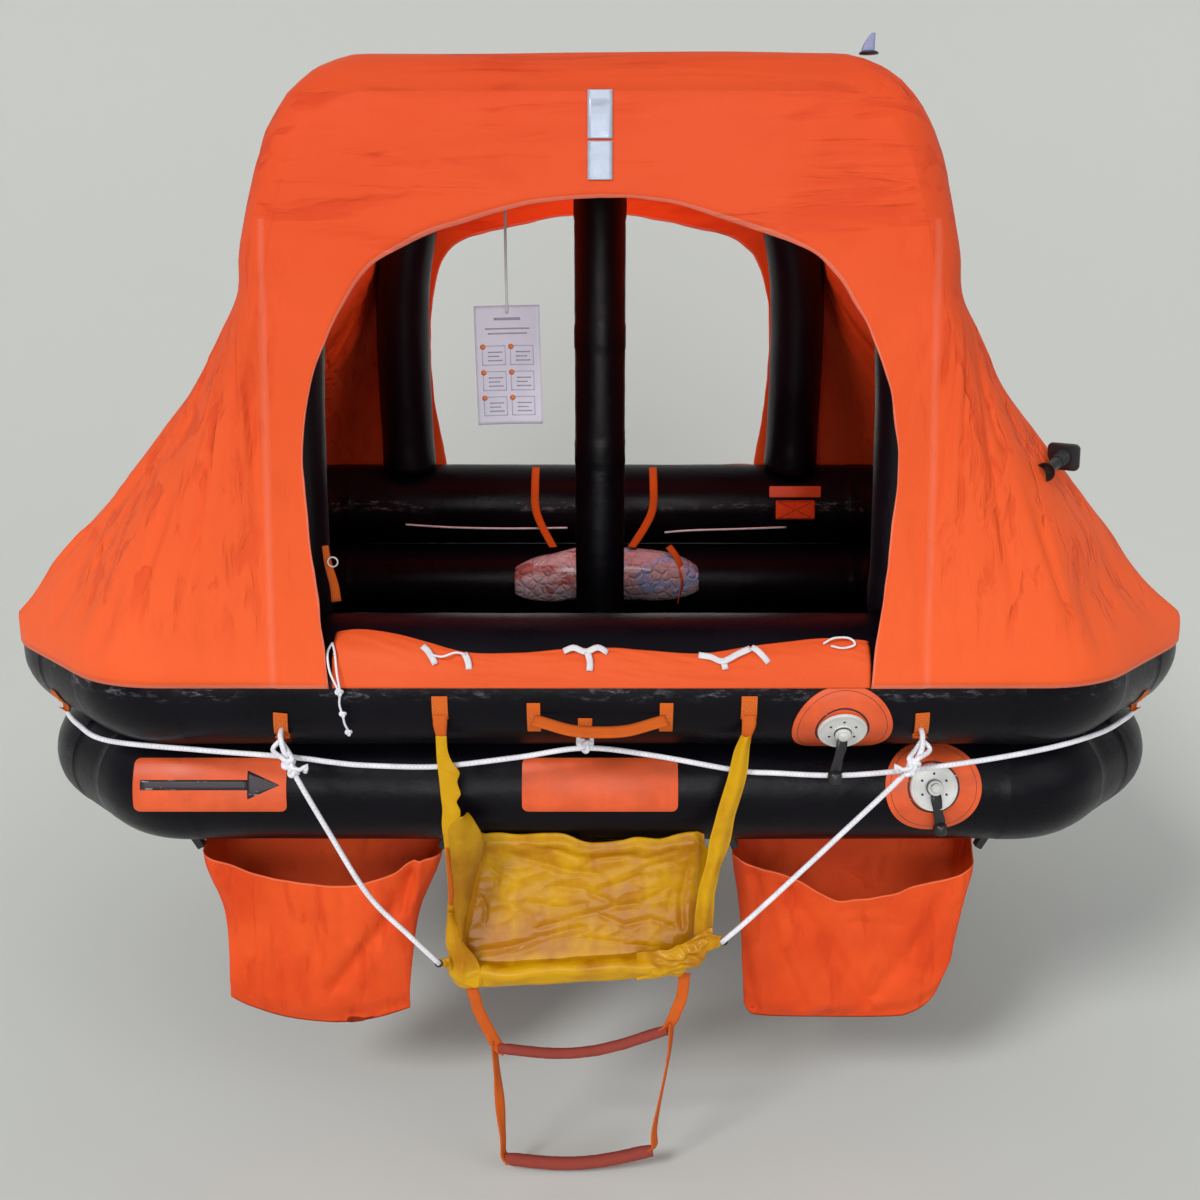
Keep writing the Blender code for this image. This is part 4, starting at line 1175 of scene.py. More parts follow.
def canopyMesh():
    stations = canopyLooks["halfStations"]
    halfSections = [stationSection(k / stations) for k in range(stations + 1)]
    columns = len(halfSections[0]) - 1
    rows = 2 * stations

    def placeAt(u, w):
        row, column = round(w * rows), round(u * columns)
        if row <= stations:
            return halfSections[row][column].copy()
        found = halfSections[rows - row][column]
        return Vector((-found.x, found.y, found.z))

    bm = sheetMesh(columns, rows, placeAt, (2.6, 4.2))
    kneeVerts = [v for v in bm.verts if not v.is_boundary and abs(v.co.z - canopyLooks["kneeZ"]) < 0.10]
    bmesh.ops.smooth_vert(bm, verts=kneeVerts, factor=0.5, use_axis_x=True, use_axis_y=True, use_axis_z=True)
    bm.normal_update()
    if next(v for v in bm.verts if v.co.z > 1.43).normal.z < 0:
        bmesh.ops.reverse_faces(bm, faces=bm.faces[:])
        bm.normal_update()
    # the right end hangs a little hollow above the tube
    hollow = canopyLooks["hollow"]
    for vert in bm.verts:
        vert.co.x -= hollow["depth"] * math.exp(
            -(((vert.co.z - hollow["z"]) / hollow["spread"]) ** 2)
        ) * step01(vert.co.x, 0.78, 1.0)
    moves = []
    for vert in bm.verts:
        edge = 0.35 if vert.is_boundary else 1.0
        calm = step01(vert.co.z, raft["hemZ"] + 0.01, raft["hemZ"] + 0.09)
        sag = 0.0
        if vert.co.z > 1.40 and abs(vert.co.y) < 0.62:
            beside = 1 - math.exp(-((vert.co.x / 0.12) ** 2 + (vert.co.y / 0.12) ** 2))
            sag = canopyLooks["sag"] * (1 - (abs(vert.co.y) / 0.62) ** 2) * beside
        lift = canopyFold(vert.co) * (0.25 + 0.75 * calm) * edge
        shift = Vector()
        if vert.is_boundary:
            waver = 0.0045 * ripple(vert.co, (9, 2, 9), 71) + 0.002 * ripple(vert.co, (24, 2, 24), 75)
            shift = Vector((1, 0, 1)) * waver * calm
        moves.append((vert, vert.normal * (lift - sag - 0.0006) + shift))
    for vert, move in moves:
        vert.co += move
    return bm


canopyBm = canopyMesh()
canopyTree = BVHTree.FromBMesh(canopyBm)
canopy = makePiece(
    "canopySheet",
    canopyBm,
    "canopy",
    thickness=canopyLooks["thickness"],
    offset=-1.0,
    standsFor=("canopy_roof", "canopy_front", "canopy_rear", "canopy_left", "canopy_right"),
)
print("canopy made")

# More makers: turned shapes, seats on a tube, webbing patches


def spinMesh(profile, segments=48):
    # a turned shape round Z from (radius, height) points
    bm = bmesh.new()
    bm.loops.layers.uv.new("UVMap")
    verts = [bm.verts.new((r, 0, z)) for r, z in profile]
    edges = [bm.edges.new(pair) for pair in zip(verts, verts[1:])]
    bmesh.ops.spin(
        bm, geom=verts + edges, cent=(0, 0, 0), axis=(0, 0, 1), angle=2 * math.pi, steps=segments, use_merge=True
    )
    bmesh.ops.remove_doubles(bm, verts=bm.verts[:], dist=0.00001)
    rims = [edge for edge in bm.edges if edge.is_boundary]
    bmesh.ops.holes_fill(bm, edges=rims, sides=0)
    bmesh.ops.recalc_face_normals(bm, faces=bm.faces[:])
    return bm


def seatAt(spot, up, out):
    return Matrix.Translation(spot) @ Matrix((up.cross(out), up, out)).transposed().to_4x4()


def tubeSeat(x, turn, tube, side=-1, lift=0.0, tilt=0.0):
    # a place on a tube's skin, with its z outward and its y up round the tube
    out = Vector((0, side * math.cos(turn), math.sin(turn)))
    up = Vector((0, -side * math.sin(turn), math.cos(turn)))
    spot = Vector((x, side * tube["y"], tube["z"])) + out * (tube["r"] + lift)
    return seatAt(spot, up, out) @ Matrix.Rotation(tilt, 4, "Z")


def ringPoints(radius, count, z=0.0):
    turns = [2 * math.pi * k / count for k in range(count)]
    return [Vector((radius * math.cos(turn), radius * math.sin(turn), z)) for turn in turns]


def standingRing(middle, radius, count, wire):
    # a wire ring that stands upright and faces the front
    return tubeMesh([Vector(middle) + Vector((p.x, 0, p.y)) for p in ringPoints(radius, count)], wire, 8, cyclic=True)


def arcLine(x, y, z, radius, degrees):
    # points round an axis along X
    turns = [math.radians(a) for a in degrees]
    return [Vector((x, y + radius * math.cos(turn), z + radius * math.sin(turn))) for turn in turns]


def moveMesh(bm, vec):
    bmesh.ops.translate(bm, vec=vec, verts=bm.verts[:])
    return bm


def setDown(bm, matrix):
    bmesh.ops.transform(bm, matrix=matrix, verts=bm.verts[:])
    return bm


def boxMesh(sizes, bevel=0.0, segments=2):
    bm = bmesh.new()
    bm.loops.layers.uv.new("UVMap")
    bmesh.ops.create_cube(bm, size=1.0)
    bmesh.ops.scale(bm, vec=sizes, verts=bm.verts[:])
    if bevel:
        bmesh.ops.bevel(
            bm, geom=bm.edges[:], offset=bevel, affect="EDGES", segments=segments, profile=0.5, material=-1
        )
    return bm


def patchStitch(width, height, seat):
    # a stitched frame with a cross, a little above a patch and inside its edge
    w, h = width / 2 - 0.0022, height / 2 - 0.0022
    corners = [Vector((-w, -h, 0)), Vector((w, -h, 0)), Vector((w, h, 0)), Vector((-w, h, 0))]
    parts = []
    for i, j in ((0, 1), (1, 2), (2, 3), (3, 0), (0, 2), (1, 3)):
        parts += stitchRow([corners[i], corners[j]])
    return [setDown(part, seat) for part in parts]


# Door flaps lie folded out over the upper tube

# outerShare: how much of the cloth lies on the outer side of the fold
flapLooks = {"left": -0.484, "right": 0.4895, "foot": 11.5, "inner": 0.1258, "outer": 0.1362, "outerShare": 0.74}
# how far round the tube the flap reaches, in degrees, along its length
flapTops = (
    (-0.50, 57), (-0.446, 61), (-0.381, 57), (-0.315, 48), (-0.237, 39), (-0.146, 39), (-0.055, 42), (0.024, 43),
    (0.075, 41), (0.179, 38), (0.270, 44), (0.335, 48), (0.414, 52), (0.50, 49),
)
readTop = tableReader([(x, degrees / 100) for x, degrees in flapTops])


def doorFlap(name, node, side, seed):
    # up the outer layer, over a soft roll, then back underneath
    rows = 36

    def placeAt(u, w):
        x = flapLooks["left"] + (flapLooks["right"] - flapLooks["left"]) * u
        top = math.radians(readTop(-side * x).y * 100 + 0.8 * ripple((x, 0, 0), (11, 1, 1), seed))
        foot = math.radians(flapLooks["foot"])
        fold = flapLooks["outerShare"]
        if w < fold:
            share = w / fold
            angle = foot + (top - foot) * share
            swell = (flapLooks["outer"] - flapLooks["inner"] - 0.004) * math.sin(math.pi * share**1.6)
            reach = flapLooks["inner"] + 0.0035 + swell + 0.0016 * ripple((x, share, 0), (9, 3.2, 1), seed)
            slack = 0.0018 * ripple((x * 2.4 + share * 0.6, share * 5, 0), (9, 1, 1), seed + 3)
            reach += 0.0026 * step01(share, 0.72, 0.97) + slack * step01(share, 0.05, 0.5)
        else:
            share = (w - fold) / (1 - fold)
            angle = top + 0.035 * math.sin(math.pi * min(1.0, share * 2)) - 0.11 * share
            reach = flapLooks["inner"] + 0.0075 - 0.0068 * step01(share, 0.0, 0.6)
        reach -= 0.003 * step01(abs(2 * u - 1), 0.985, 1.0)
        return Vector((x, side * (raft["halfY"] + reach * math.cos(angle)), raft["upperZ"] + reach * math.sin(angle)))

    bm = sheetMesh(190, rows, placeAt, (flapLooks["right"] - flapLooks["left"], 0.11))
    flap = makePiece(name, bm, "flap", thickness=0.0014, offset=-side, standsFor=(node,))


doorFlap("frontDoorFlap", "front_door_flap", -1, 3.0)
doorFlap("rearDoorFlap", "rear_door_flap", 1, 8.0)
print("door flaps made")

# Ballast pockets: open bags that hang from the lower tube

pocketLooks = {
    "top": -0.0304, "bottom": -0.4640, "front": 0.804, "back": 0.605, "foot": 0.786, "wall": 0.0016, "sides": 190,
    "rows": 66,
}
# edges: depth below the top with the left and right edge; mouth: place and height;
# foot: share across and rise above the bottom; creases: width, depth and (x, z) points
pocketCuts = {
    "swept": {
        "edges": (
            (0.0, -0.8139, -0.3075), (0.070, -0.8038, -0.3250), (0.170, -0.7740, -0.3675), (0.270, -0.7680, -0.3850),
            (0.370, -0.7733, -0.3940), (0.440, -0.7750, -0.3960),
        ),
        "mouth": (
            (-0.820, -0.068), (-0.806, -0.072), (-0.750, -0.089), (-0.691, -0.112), (-0.631, -0.124),
            (-0.554, -0.134), (-0.493, -0.136), (-0.448, -0.125), (-0.400, -0.107), (-0.372, -0.082),
            (-0.300, -0.070),
        ),
        "foot": ((0.0, 0.061), (0.10, 0.040), (0.31, 0.012), (0.58, 0.0), (0.79, 0.010), (1.0, 0.036)),
        "creases": (
            (0.020, 0.0125, ((-0.385, -0.130), (-0.410, -0.190), (-0.465, -0.270), (-0.540, -0.370))),
            (0.008, 0.0085, ((-0.374, -0.082), (-0.392, -0.160), (-0.400, -0.200))),
            (0.008, -0.0075, ((-0.360, -0.082), (-0.372, -0.170))),
            (0.016, 0.0060, ((-0.765, -0.160), (-0.750, -0.280), (-0.725, -0.380))),
            (0.014, 0.0045, ((-0.520, -0.165), (-0.516, -0.250))),
            (0.014, 0.0040, ((-0.570, -0.220), (-0.592, -0.330))),
            (0.016, 0.0040, ((-0.660, -0.300), (-0.655, -0.420))),
        ),
    },
    "square": {
        "edges": (
            (0.0, 0.2604, 0.7720), (0.070, 0.2685, 0.7627), (0.137, 0.2800, 0.7480), (0.210, 0.2888, 0.7338),
            (0.275, 0.2925, 0.7242), (0.365, 0.2970, 0.7165), (0.440, 0.3000, 0.7120),
        ),
        "mouth": (
            (0.250, -0.076), (0.278, -0.083), (0.321, -0.097), (0.362, -0.109), (0.403, -0.127), (0.445, -0.152),
            (0.486, -0.170), (0.527, -0.166), (0.607, -0.154), (0.645, -0.136), (0.724, -0.118), (0.758, -0.101),
            (0.790, -0.090),
        ),
        "foot": (
            (0.0, 0.050), (0.03, 0.028), (0.08, 0.018), (0.30, 0.014), (0.75, 0.014), (0.86, 0.024), (0.93, 0.046),
            (0.97, 0.074), (1.0, 0.125),
        ),
        "creases": (
            (0.013, 0.0095, ((0.281, -0.090), (0.290, -0.220), (0.325, -0.420))),
            (0.016, 0.0105, ((0.318, -0.115), (0.368, -0.270), (0.430, -0.410))),
            (0.022, 0.0110, ((0.385, -0.150), (0.475, -0.270), (0.560, -0.400))),
            (0.022, 0.0080, ((0.715, -0.150), (0.655, -0.290), (0.585, -0.390))),
            (0.018, 0.0065, ((0.728, -0.200), (0.690, -0.330))),
            (0.012, 0.0030, ((0.520, -0.220), (0.610, -0.224))),
        ),
    },
}
pocketShapes = {
    "frontLeft": {"cut": "swept", "x": 1, "y": -1, "node": "pocket_front_left", "seed": 2.0},
    "frontRight": {"cut": "square", "x": 1, "y": -1, "node": "pocket_front_right", "seed": 6.0},
    "rearLeft": {"cut": "square", "x": -1, "y": 1, "node": "pocket_rear_left", "seed": 11.0},
    "rearRight": {"cut": "swept", "x": -1, "y": 1, "node": "pocket_rear_right", "seed": 15.0},
}


def pocketPiece(label, shape):
    cut = pocketCuts[shape["cut"]]
    edges, mouth, foot = (tableReader(cut[key]) for key in ("edges", "mouth", "foot"))
    height = pocketLooks["top"] - pocketLooks["bottom"]
    # a rounded box seen from above, -1 to 1 both ways, from the middle of its back
    corner, aspect = 0.16, 2.4
    turns = [(math.cos(math.radians(a)), math.sin(math.radians(a))) for a in range(0, 91, 15)]
    run = [(0.0, -1.0)]
    for sx, sy, order in ((-1, -1, 1), (-1, 1, -1), (1, 1, 1), (1, -1, -1)):
        for c, d in turns[::-order]:
            run.append((sx * (1 - corner + corner * c), sy * (1 - corner * aspect + corner * aspect * d)))
    ring = Track([(x, y / aspect, 0) for x, y in run + [(0.0, -1.0)]])
    inner = 1 if cut["edges"][0][1] < 0 else 0

    def placeAt(u, w):
        flat = ring.at(u)
        shareX, outward = (flat.x + 1) / 2, flat.y * aspect
        brimX = edges(0).y + (edges(0).z - edges(0).y) * shareX
        top = pocketLooks["top"] - 0.0006 + (mouth(brimX).y - pocketLooks["top"]) * step01(outward, -0.3, 0.75)
        low = pocketLooks["bottom"] + foot(shareX).y
        z = low + (top - low) * w
        rise = min(max((z - pocketLooks["bottom"]) / height, 0.0), 1.0)
        found = edges(pocketLooks["top"] - z)
        left, right = found.y, found.z
        behind = (1 - outward) / 2 * 0.024
        left, right = (left, right - behind) if inner else (left + behind, right)
        x = left + (right - left) * shareX
        closing = step01(w, 0.0, 0.16)
        lean = 0.15 * rise + 0.85 * step01(rise, 0.1, 1.0)
        back = pocketLooks["foot"] + (pocketLooks["back"] - pocketLooks["foot"]) * lean
        front = pocketLooks["foot"] + 0.004 + (pocketLooks["front"] - pocketLooks["foot"] - 0.004) * closing
        y = back + (front - back) * (outward + 1) / 2
        outer = step01(outward, 0.2, 0.95)
        soft = step01(w, 0.0, 0.08)
        folds = creaseDepth(x, z, cut["creases"]) * outer * soft
        folds += 0.010 * ripple((x, outward, z), (6, 1, 4), shape["seed"]) * soft * step01(1 - w, 0.0, 0.10)
        folds += 0.0035 * ripple((x + z * 0.4, outward, z), (26, 1, 9), shape["seed"] + 5) * soft
        bow = 0.006 * math.sin(math.pi * rise) * (1 - abs(outward)) * math.copysign(1, flat.x)
        return Vector((shape["x"] * (x + bow), shape["y"] * (y + folds * (1 if outward > -0.5 else 0.5)), z))

    bm = sheetMesh(pocketLooks["sides"], pocketLooks["rows"], placeAt, (1.4, height), closed=True)
    rim = [edge for edge in bm.edges if edge.is_boundary and edge.verts[0].co.z < pocketLooks["bottom"] + 0.14]
    bmesh.ops.triangle_fill(bm, use_beauty=True, use_dissolve=False, edges=rim, normal=(0, 0, 1))
    bmesh.ops.recalc_face_normals(bm, faces=bm.faces[:])
    outermost = max(bm.verts, key=lambda v: abs(v.co.x) + v.co.z * 0.1)
    if (outermost.normal.x * outermost.co.x) < 0:
        bmesh.ops.reverse_faces(bm, faces=bm.faces[:])
    title = "pocket" + label[0].upper() + label[1:]
    pocket = makePiece(title, bm, "pockets", thickness=pocketLooks["wall"], offset=-1.0, standsFor=(shape["node"],))
    # dark ties at the mouth's two upper corners
    ties = []
    for x, lean in ((cut["edges"][0][1], 1), (cut["edges"][0][2], -1)):
        place = Matrix.Translation((shape["x"] * (x + lean * 0.004), shape["y"] * 0.796, -0.036))
        ties.append(
            setDown(boxMesh((0.016, 0.020, 0.036), 0.003), place @ Matrix.Rotation(-lean * shape["x"] * 0.5, 4, "Y"))
        )
    makePiece(title + "Ties", mergeMeshes(ties), "blackPart", slotName="webbing")


for label, shape in pocketShapes.items():
    pocketPiece(label, shape)
print("pockets made")

# Boarding ramp: a crumpled sheet slung from two sleeved straps

# sheet: depth below the tube with the left and right edge; sleeves and folds alike;
# brim: place and height of the top edge; roll: place and height of its middle
rampCuts = {
    "cornerRight": (
        (0.070, -0.196, -0.2560), (0.107, -0.186, -0.2455), (0.148, -0.1734, -0.2265), (0.1775, -0.1540, -0.2200),
        (0.190, -0.1450, -0.2130), (0.202, -0.1380, -0.1952), (0.2065, -0.1350, -0.1763), (0.2150, -0.1340, -0.1529),
    ),
    "panel": (
        (-0.012, -0.226, 0.189), (0.024, -0.225, 0.190), (0.059, -0.237, 0.189), (0.106, -0.248, 0.186),
        (0.152, -0.257, 0.181), (0.194, -0.265, 0.178), (0.236, -0.266, 0.172),
    ),
    "brim": (
        (-0.230, 0.013), (-0.183, 0.0175), (-0.149, 0.014), (-0.098, 0.0165), (-0.064, 0.015), (-0.030, 0.001),
        (-0.004, -0.0015), (0.039, 0.003), (0.066, 0.009), (0.108, 0.006), (0.142, 0.015), (0.168, 0.019),
        (0.195, 0.015),
    ),
    "roll": (
        (-0.292, -0.2455), (-0.230, -0.2475), (-0.180, -0.2480), (-0.110, -0.2420), (0.039, -0.2325),
        (0.082, -0.2300), (0.190, -0.2200),
    ),
    "sleeveLeft": (
        (-0.262, -0.3003, -0.2800), (-0.223, -0.2998, -0.2790), (-0.197, -0.2992, -0.2690),
        (-0.182, -0.2980, -0.2577), (-0.1625, -0.2965, -0.2635), (-0.1364, -0.2950, -0.2571),
        (-0.1232, -0.2940, -0.2672), (-0.1057, -0.2928, -0.2593), (-0.0747, -0.2954, -0.2620),
        (-0.030, -0.2921, -0.2620), (0.015, -0.2895, -0.2620), (0.070, -0.2880, -0.2640), (0.109, -0.2918, -0.2620),
        (0.172, -0.2947, -0.2580), (0.213, -0.2900, -0.2500),
    ),
    "sleeveRight": (
        (-0.262, 0.2585, 0.2768), (-0.2528, 0.2570, 0.2758), (-0.2229, 0.2460, 0.2740), (-0.180, 0.2372, 0.2714),
        (-0.1364, 0.2266, 0.2628), (-0.1013, 0.2175, 0.2535), (-0.0836, 0.2139, 0.2500), (-0.0436, 0.2047, 0.2453),
        (-0.0122, 0.2014, 0.2360), (0.0104, 0.1975, 0.2275), (0.0558, 0.1865, 0.2200), (0.0696, 0.1850, 0.2177),
        (0.1157, 0.1805, 0.2168), (0.1529, 0.1795, 0.2135), (0.1763, 0.1795, 0.2065), (0.205, 0.1780, 0.1960),
    ),
    "lobe": (
        (-0.0945, -0.2560, -0.2500), (-0.088, -0.2680, -0.2430), (-0.0747, -0.2800, -0.2347),
        (-0.060, -0.2832, -0.2262), (-0.0436, -0.2825, -0.2190), (-0.0212, -0.2800, -0.2196),
        (0.0149, -0.2775, -0.2290), (0.033, -0.2766, -0.2335), (0.0696, -0.2775, -0.2428), (0.088, -0.2790, -0.2465),
        (0.1249, -0.2754, -0.2547), (0.176, -0.2664, -0.2615),
    ),
    "sliver": (
        (-0.030, -0.2885, -0.2840), (0.020, -0.2870, -0.2800), (0.060, -0.2865, -0.2775), (0.090, -0.2870, -0.2800),
    ),
    "cheek": ((-0.010, 0.1930, 0.2120), (0.030, 0.1925, 0.2080), (0.080, 0.1900, 0.2000), (0.120, 0.1860, 0.1920)),
    "cornerLeft": (
        (0.100, -0.2895, -0.2800), (0.140, -0.2930, -0.2690), (0.1716, -0.2947, -0.2590), (0.1928, -0.2900, -0.2440),
        (0.2164, -0.2908, -0.2320), (0.2378, -0.2915, -0.2280), (0.2545, -0.2752, -0.2270),
        (0.2650, -0.2500, -0.2330),
    ),
}
# creases in the sheet: width, depth and the (x, z) points that each follows
rampCreases = (
    (0.008, 1.2, ((-0.170, -0.023), (-0.124, -0.035), (-0.060, -0.054), (-0.010, -0.058))),
    (0.006, 0.8, ((-0.149, -0.004), (-0.081, -0.014), (-0.045, -0.030))),
    (0.007, 0.9, ((-0.098, -0.008), (-0.030, -0.027), (0.030, -0.027), (0.080, -0.016))),
    (0.007, 1.0, ((-0.020, -0.035), (0.032, -0.023), (0.091, -0.030), (0.143, -0.014))),
    (0.006, 0.7, ((0.091, -0.046), (0.132, -0.036), (0.170, -0.046))),
    (0.008, 0.8, ((-0.080, -0.084), (-0.013, -0.093), (0.030, -0.081), (0.075, -0.064))),
    (0.007, 0.7, ((-0.141, -0.113), (-0.081, -0.124), (-0.030, -0.116))),
    (0.007, 0.7, ((-0.011, -0.100), (0.040, -0.120), (0.091, -0.109), (0.126, -0.090))),
    (0.008, 0.9, ((-0.115, -0.160), (-0.055, -0.144), (0.021, -0.124), (0.070, -0.118))),
    (0.009, 1.2, ((-0.235, -0.206), (-0.175, -0.198), (-0.098, -0.175), (-0.040, -0.162))),
    (0.007, 0.8, ((0.006, -0.140), (0.049, -0.157), (0.100, -0.145), (0.140, -0.160))),
    (0.006, 0.7, ((-0.020, -0.182), (0.032, -0.190), (0.091, -0.196))),
    (0.006, 0.8, ((-0.228, -0.108), (-0.220, -0.128), (-0.222, -0.148))),
    (0.007, 0.8, ((-0.210, -0.050), (-0.196, -0.062), (-0.198, -0.080))),
    (0.008, 0.9, ((0.172, -0.060), (0.160, -0.110), (0.164, -0.160))),
    (0.006, 0.7, ((0.120, -0.060), (0.142, -0.090), (0.136, -0.125))),
)
rampReads = {key: tableReader(rows) for key, rows in rampCuts.items()}
rampLooks = {
    "rollR": 0.0262, "rollEnds": (-0.286, 0.168), "tight": 0.0030, "anchors": {-1: -0.2913, 1: 0.2713},
    "skirt": 0.10, "foot": -0.236,
}


def rampSheet():
    def placeAt(u, w):
        skirt = rampLooks["skirt"]
        if w >= skirt:
            return mainAt(u, (w - skirt) / (1 - skirt))
        # a short skirt under the tube, back from the brim
        back = 1 - w / skirt
        brim = mainAt(u, 0.0)
        start = math.atan2(brim.z - raft["lowerZ"], -brim.y - raft["lowerY"])
        angle = start + (math.radians(-102) - start) * back
        reach = math.hypot(brim.z - raft["lowerZ"], -brim.y - raft["lowerY"])
        reach += (raft["lowerR"] + 0.007 - reach) * min(1.0, back * 3)
        return Vector((brim.x, -raft["lowerY"] - reach * math.cos(angle), raft["lowerZ"] + reach * math.sin(angle)))

    def mainAt(u, w):
        edge = rampReads["panel"](0.0)
        top = rampReads["brim"](edge.y + (edge.z - edge.y) * u).y
        z = top + (rampLooks["foot"] - top) * w
        edge = rampReads["panel"](-z)
        # its sides turn back behind the sleeves
        x = edge.y - 0.016 + (edge.z - edge.y + 0.030) * u
        y = -0.8765 - 0.064 * min(1.0, (0.012 - z) / 0.248) + 0.012 * step01(abs(2 * u - 1), 0.90, 1.0)
        hem = 0.0085 * math.exp(-(((w - 0.075) / 0.06) ** 2)) - 0.007 * math.sin(math.pi * w)
        fold = rampLooks["tight"] * creaseDepth(x, z, rampCreases)
        fold += 0.0042 * ripple((x, z, 0), (9, 30, 1), 5) * math.exp(-(((w - 0.10) / 0.10) ** 2))
        fold += 0.0022 * ripple((x + z * 1.2, z - x * 0.3, 0), (6, 14, 1), 9)
        fold += 0.0009 * crease((x + z * 0.8, z - x * 0.35, 0), (16, 40, 1), 21) * step01(w, 0.0, 0.1)
        fold += 0.0030 * crease(
            (x, z, 0), (22, 30, 1), 27
        ) * step01(abs(2 * u - 1), 0.70, 0.98) * step01(w, 0.66, 0.9)
        return Vector((x, y, z)) + Vector((0, -0.965, 0.26)) * (hem + fold * step01(w, 0.0, 0.03))

    return sheetMesh(190, 140, placeAt, (0.43, 0.27))


def cutPiece(
    name, cut, top, foot, front, bulge, wrinkle, seed, columns=20, look="ramp", thickness=0.0024, standsFor=(),
    turn=0.0
):
    # cloth between two measured edges; front gives its depth at the left and right, top and foot
    rows = max(12, round((top - foot) / 0.0046))

    def placeAt(u, w):
        z = top + (foot - top) * w
        edge = rampReads[cut](-z)
        x = edge.y + (edge.z - edge.y) * u
        y = (front[0] * (1 - w) + front[2] * w) * (1 - u) + (front[1] * (1 - w) + front[3] * w) * u
        swell = bulge * math.sin(math.pi * min(1.0, max(0.0, u + turn * (0.5 - u))))
        fold = wrinkle * (
            0.7 * ripple((x, z, 0), (48, 16, 1), seed) + 0.55 * crease((x, z, 0), (26, 12, 1), seed + 3)
        )
        return Vector((x, y - swell - fold * step01(w, 0.0, 0.08), z))

    piece = makePiece(
        name, sheetMesh(columns, rows, placeAt, (0.05, top - foot)), look, "ramp", thickness=thickness, levels=1,
        standsFor=standsFor
    )


def rampRoll():
    left, right = rampLooks["rollEnds"]
    line = []
    for k in range(141):
        x = left + (right - left) * k / 140
        line.append(Vector((x, -0.9450, rampReads["roll"](x).y)))

    def radiusAt(w, angle):
        end = step01(abs(2 * w - 1), 0.60, 0.9)
        place = (w * 0.46, math.cos(angle) * 0.03, math.sin(angle) * 0.03)
        fold = 0.0032 * math.sin(angle * 3 + 2.0 * ripple((w * 2, 0, 0), (2, 1, 1), 4))
        crumple = (0.0012 + 0.0042 * end) * ripple(
            place, (30, 30, 30), 12
        ) + 0.0040 * end * crease(place, (26, 24, 24), 19)
        return (rampLooks["rollR"] + fold + crumple - 0.002) * (1 - 0.25 * step01(abs(2 * w - 1), 0.93, 1.0))

    return tubeMesh(line, radiusAt, 40, Vector((0, 0, 1)))


def rampCornerRight():
    # the crumpled corner that rises to the right-hand bridle
    edges = rampReads["cornerRight"]

    def placeAt(u, w):
        x = 0.070 + 0.145 * u
        edge = edges(x)
        z = edge.y + (edge.z - edge.y) * w
        y = -0.9570 - 0.0130 * step01(u, 0.0, 0.4) - 0.0065 * math.sin(math.pi * w) * step01(u, 0.0, 0.3)
        fold = 0.0052 * ripple((x + z * 0.6, z, 0), (52, 60, 1), 33)
        fold += 0.0040 * crease((x + z * 0.7, z - x * 0.4, 0), (30, 44, 1), 37)
        return Vector((x, y - fold * step01(u, 0.05, 0.35), z))

    return sheetMesh(60, 40, placeAt, (0.145, 0.08))


rampPanel = makePiece("rampPanel", rampSheet(), "ramp", "ramp", thickness=0.0024, standsFor=("ramp_panel",))
makePiece("rampRoll", rampRoll(), "ramp", "ramp", levels=1, standsFor=("ramp_roll",))
cutPiece(
    "rampSleeveLeft", "sleeveLeft", 0.254, -0.213, (-0.9585, -0.9600, -0.9560, -0.9560), 0.0030, 0.0030, 3,
    standsFor=("ramp_strap_left",)
)
cutPiece(
    "rampSleeveRight", "sleeveRight", 0.2545, -0.205, (-0.9575, -0.9575, -0.9590, -0.9590), 0.0095, 0.0030, 8,
    standsFor=("ramp_strap_right",), turn=-0.2
)
cutPiece(
    "rampLobeLeft", "lobe", 0.0940, -0.176, (-0.9625, -0.9420, -0.9640, -0.9600), 0.0080, 0.0030, 12, look="rampShade"
)
cutPiece(
    "rampCheekRight", "cheek", 0.010, -0.120, (-0.8900, -0.9400, -0.9300, -0.9520), 0.0020, 0.0024, 17, 8, "rampShade"
)
cutPiece(
    "rampSliver", "sliver", 0.030, -0.090, (-0.9610, -0.9630, -0.9610, -0.9630), 0.0010, 0.0004, 19, 4, "webbing",
    0.0014
)
cutPiece(
    "rampCornerLeft", "cornerLeft", -0.100, -0.2645, (-0.9660, -0.9640, -0.9650, -0.9640), 0.0070, 0.0058, 23, 36
)
corner = makePiece("rampCornerRight", rampCornerRight(), "ramp", "ramp", thickness=0.0024, levels=1)
for label, foot in (("left", (-0.2990, -0.2815)), ("right", (0.2592, 0.2762))):
    side = -1 if label == "left" else 1
    high, low = rampLooks["anchors"][side], (foot[0] + foot[1]) / 2
    line = smoothLine(
        [(high, -0.9556, 0.292), (high, -0.9590, 0.275), (low, -0.9585, 0.253), (low - side * 0.001, -0.9555, 0.236)],
        0.004
    )
    webbing = bandMesh(line, lambda w: 0.0258 - 0.0075 * step01(w, 0.2, 0.8), columns=4)
    makePiece(
        "rampWebbing" + label.capitalize(), webbing, "webbing", "ramp", thickness=0.0022,
        standsFor=("ramp_loop_" + label,)
    )
print("ramp made")

# Ladder below the ramp: two twisted webs and two sleeved rungs

ladderLooks = {
    "y": -0.945,
    "radius": 0.0138,
    "rungs": {
        "upper": {"x": -0.0345, "half": 0.167, "z": -0.397, "tilt": 0.021, "sag": 0.029, "thick": 0.82},
        "lower": {"x": -0.043, "half": 0.150, "z": -0.668, "tilt": 0.010, "sag": 0.020, "thick": 1.0},
    },
}


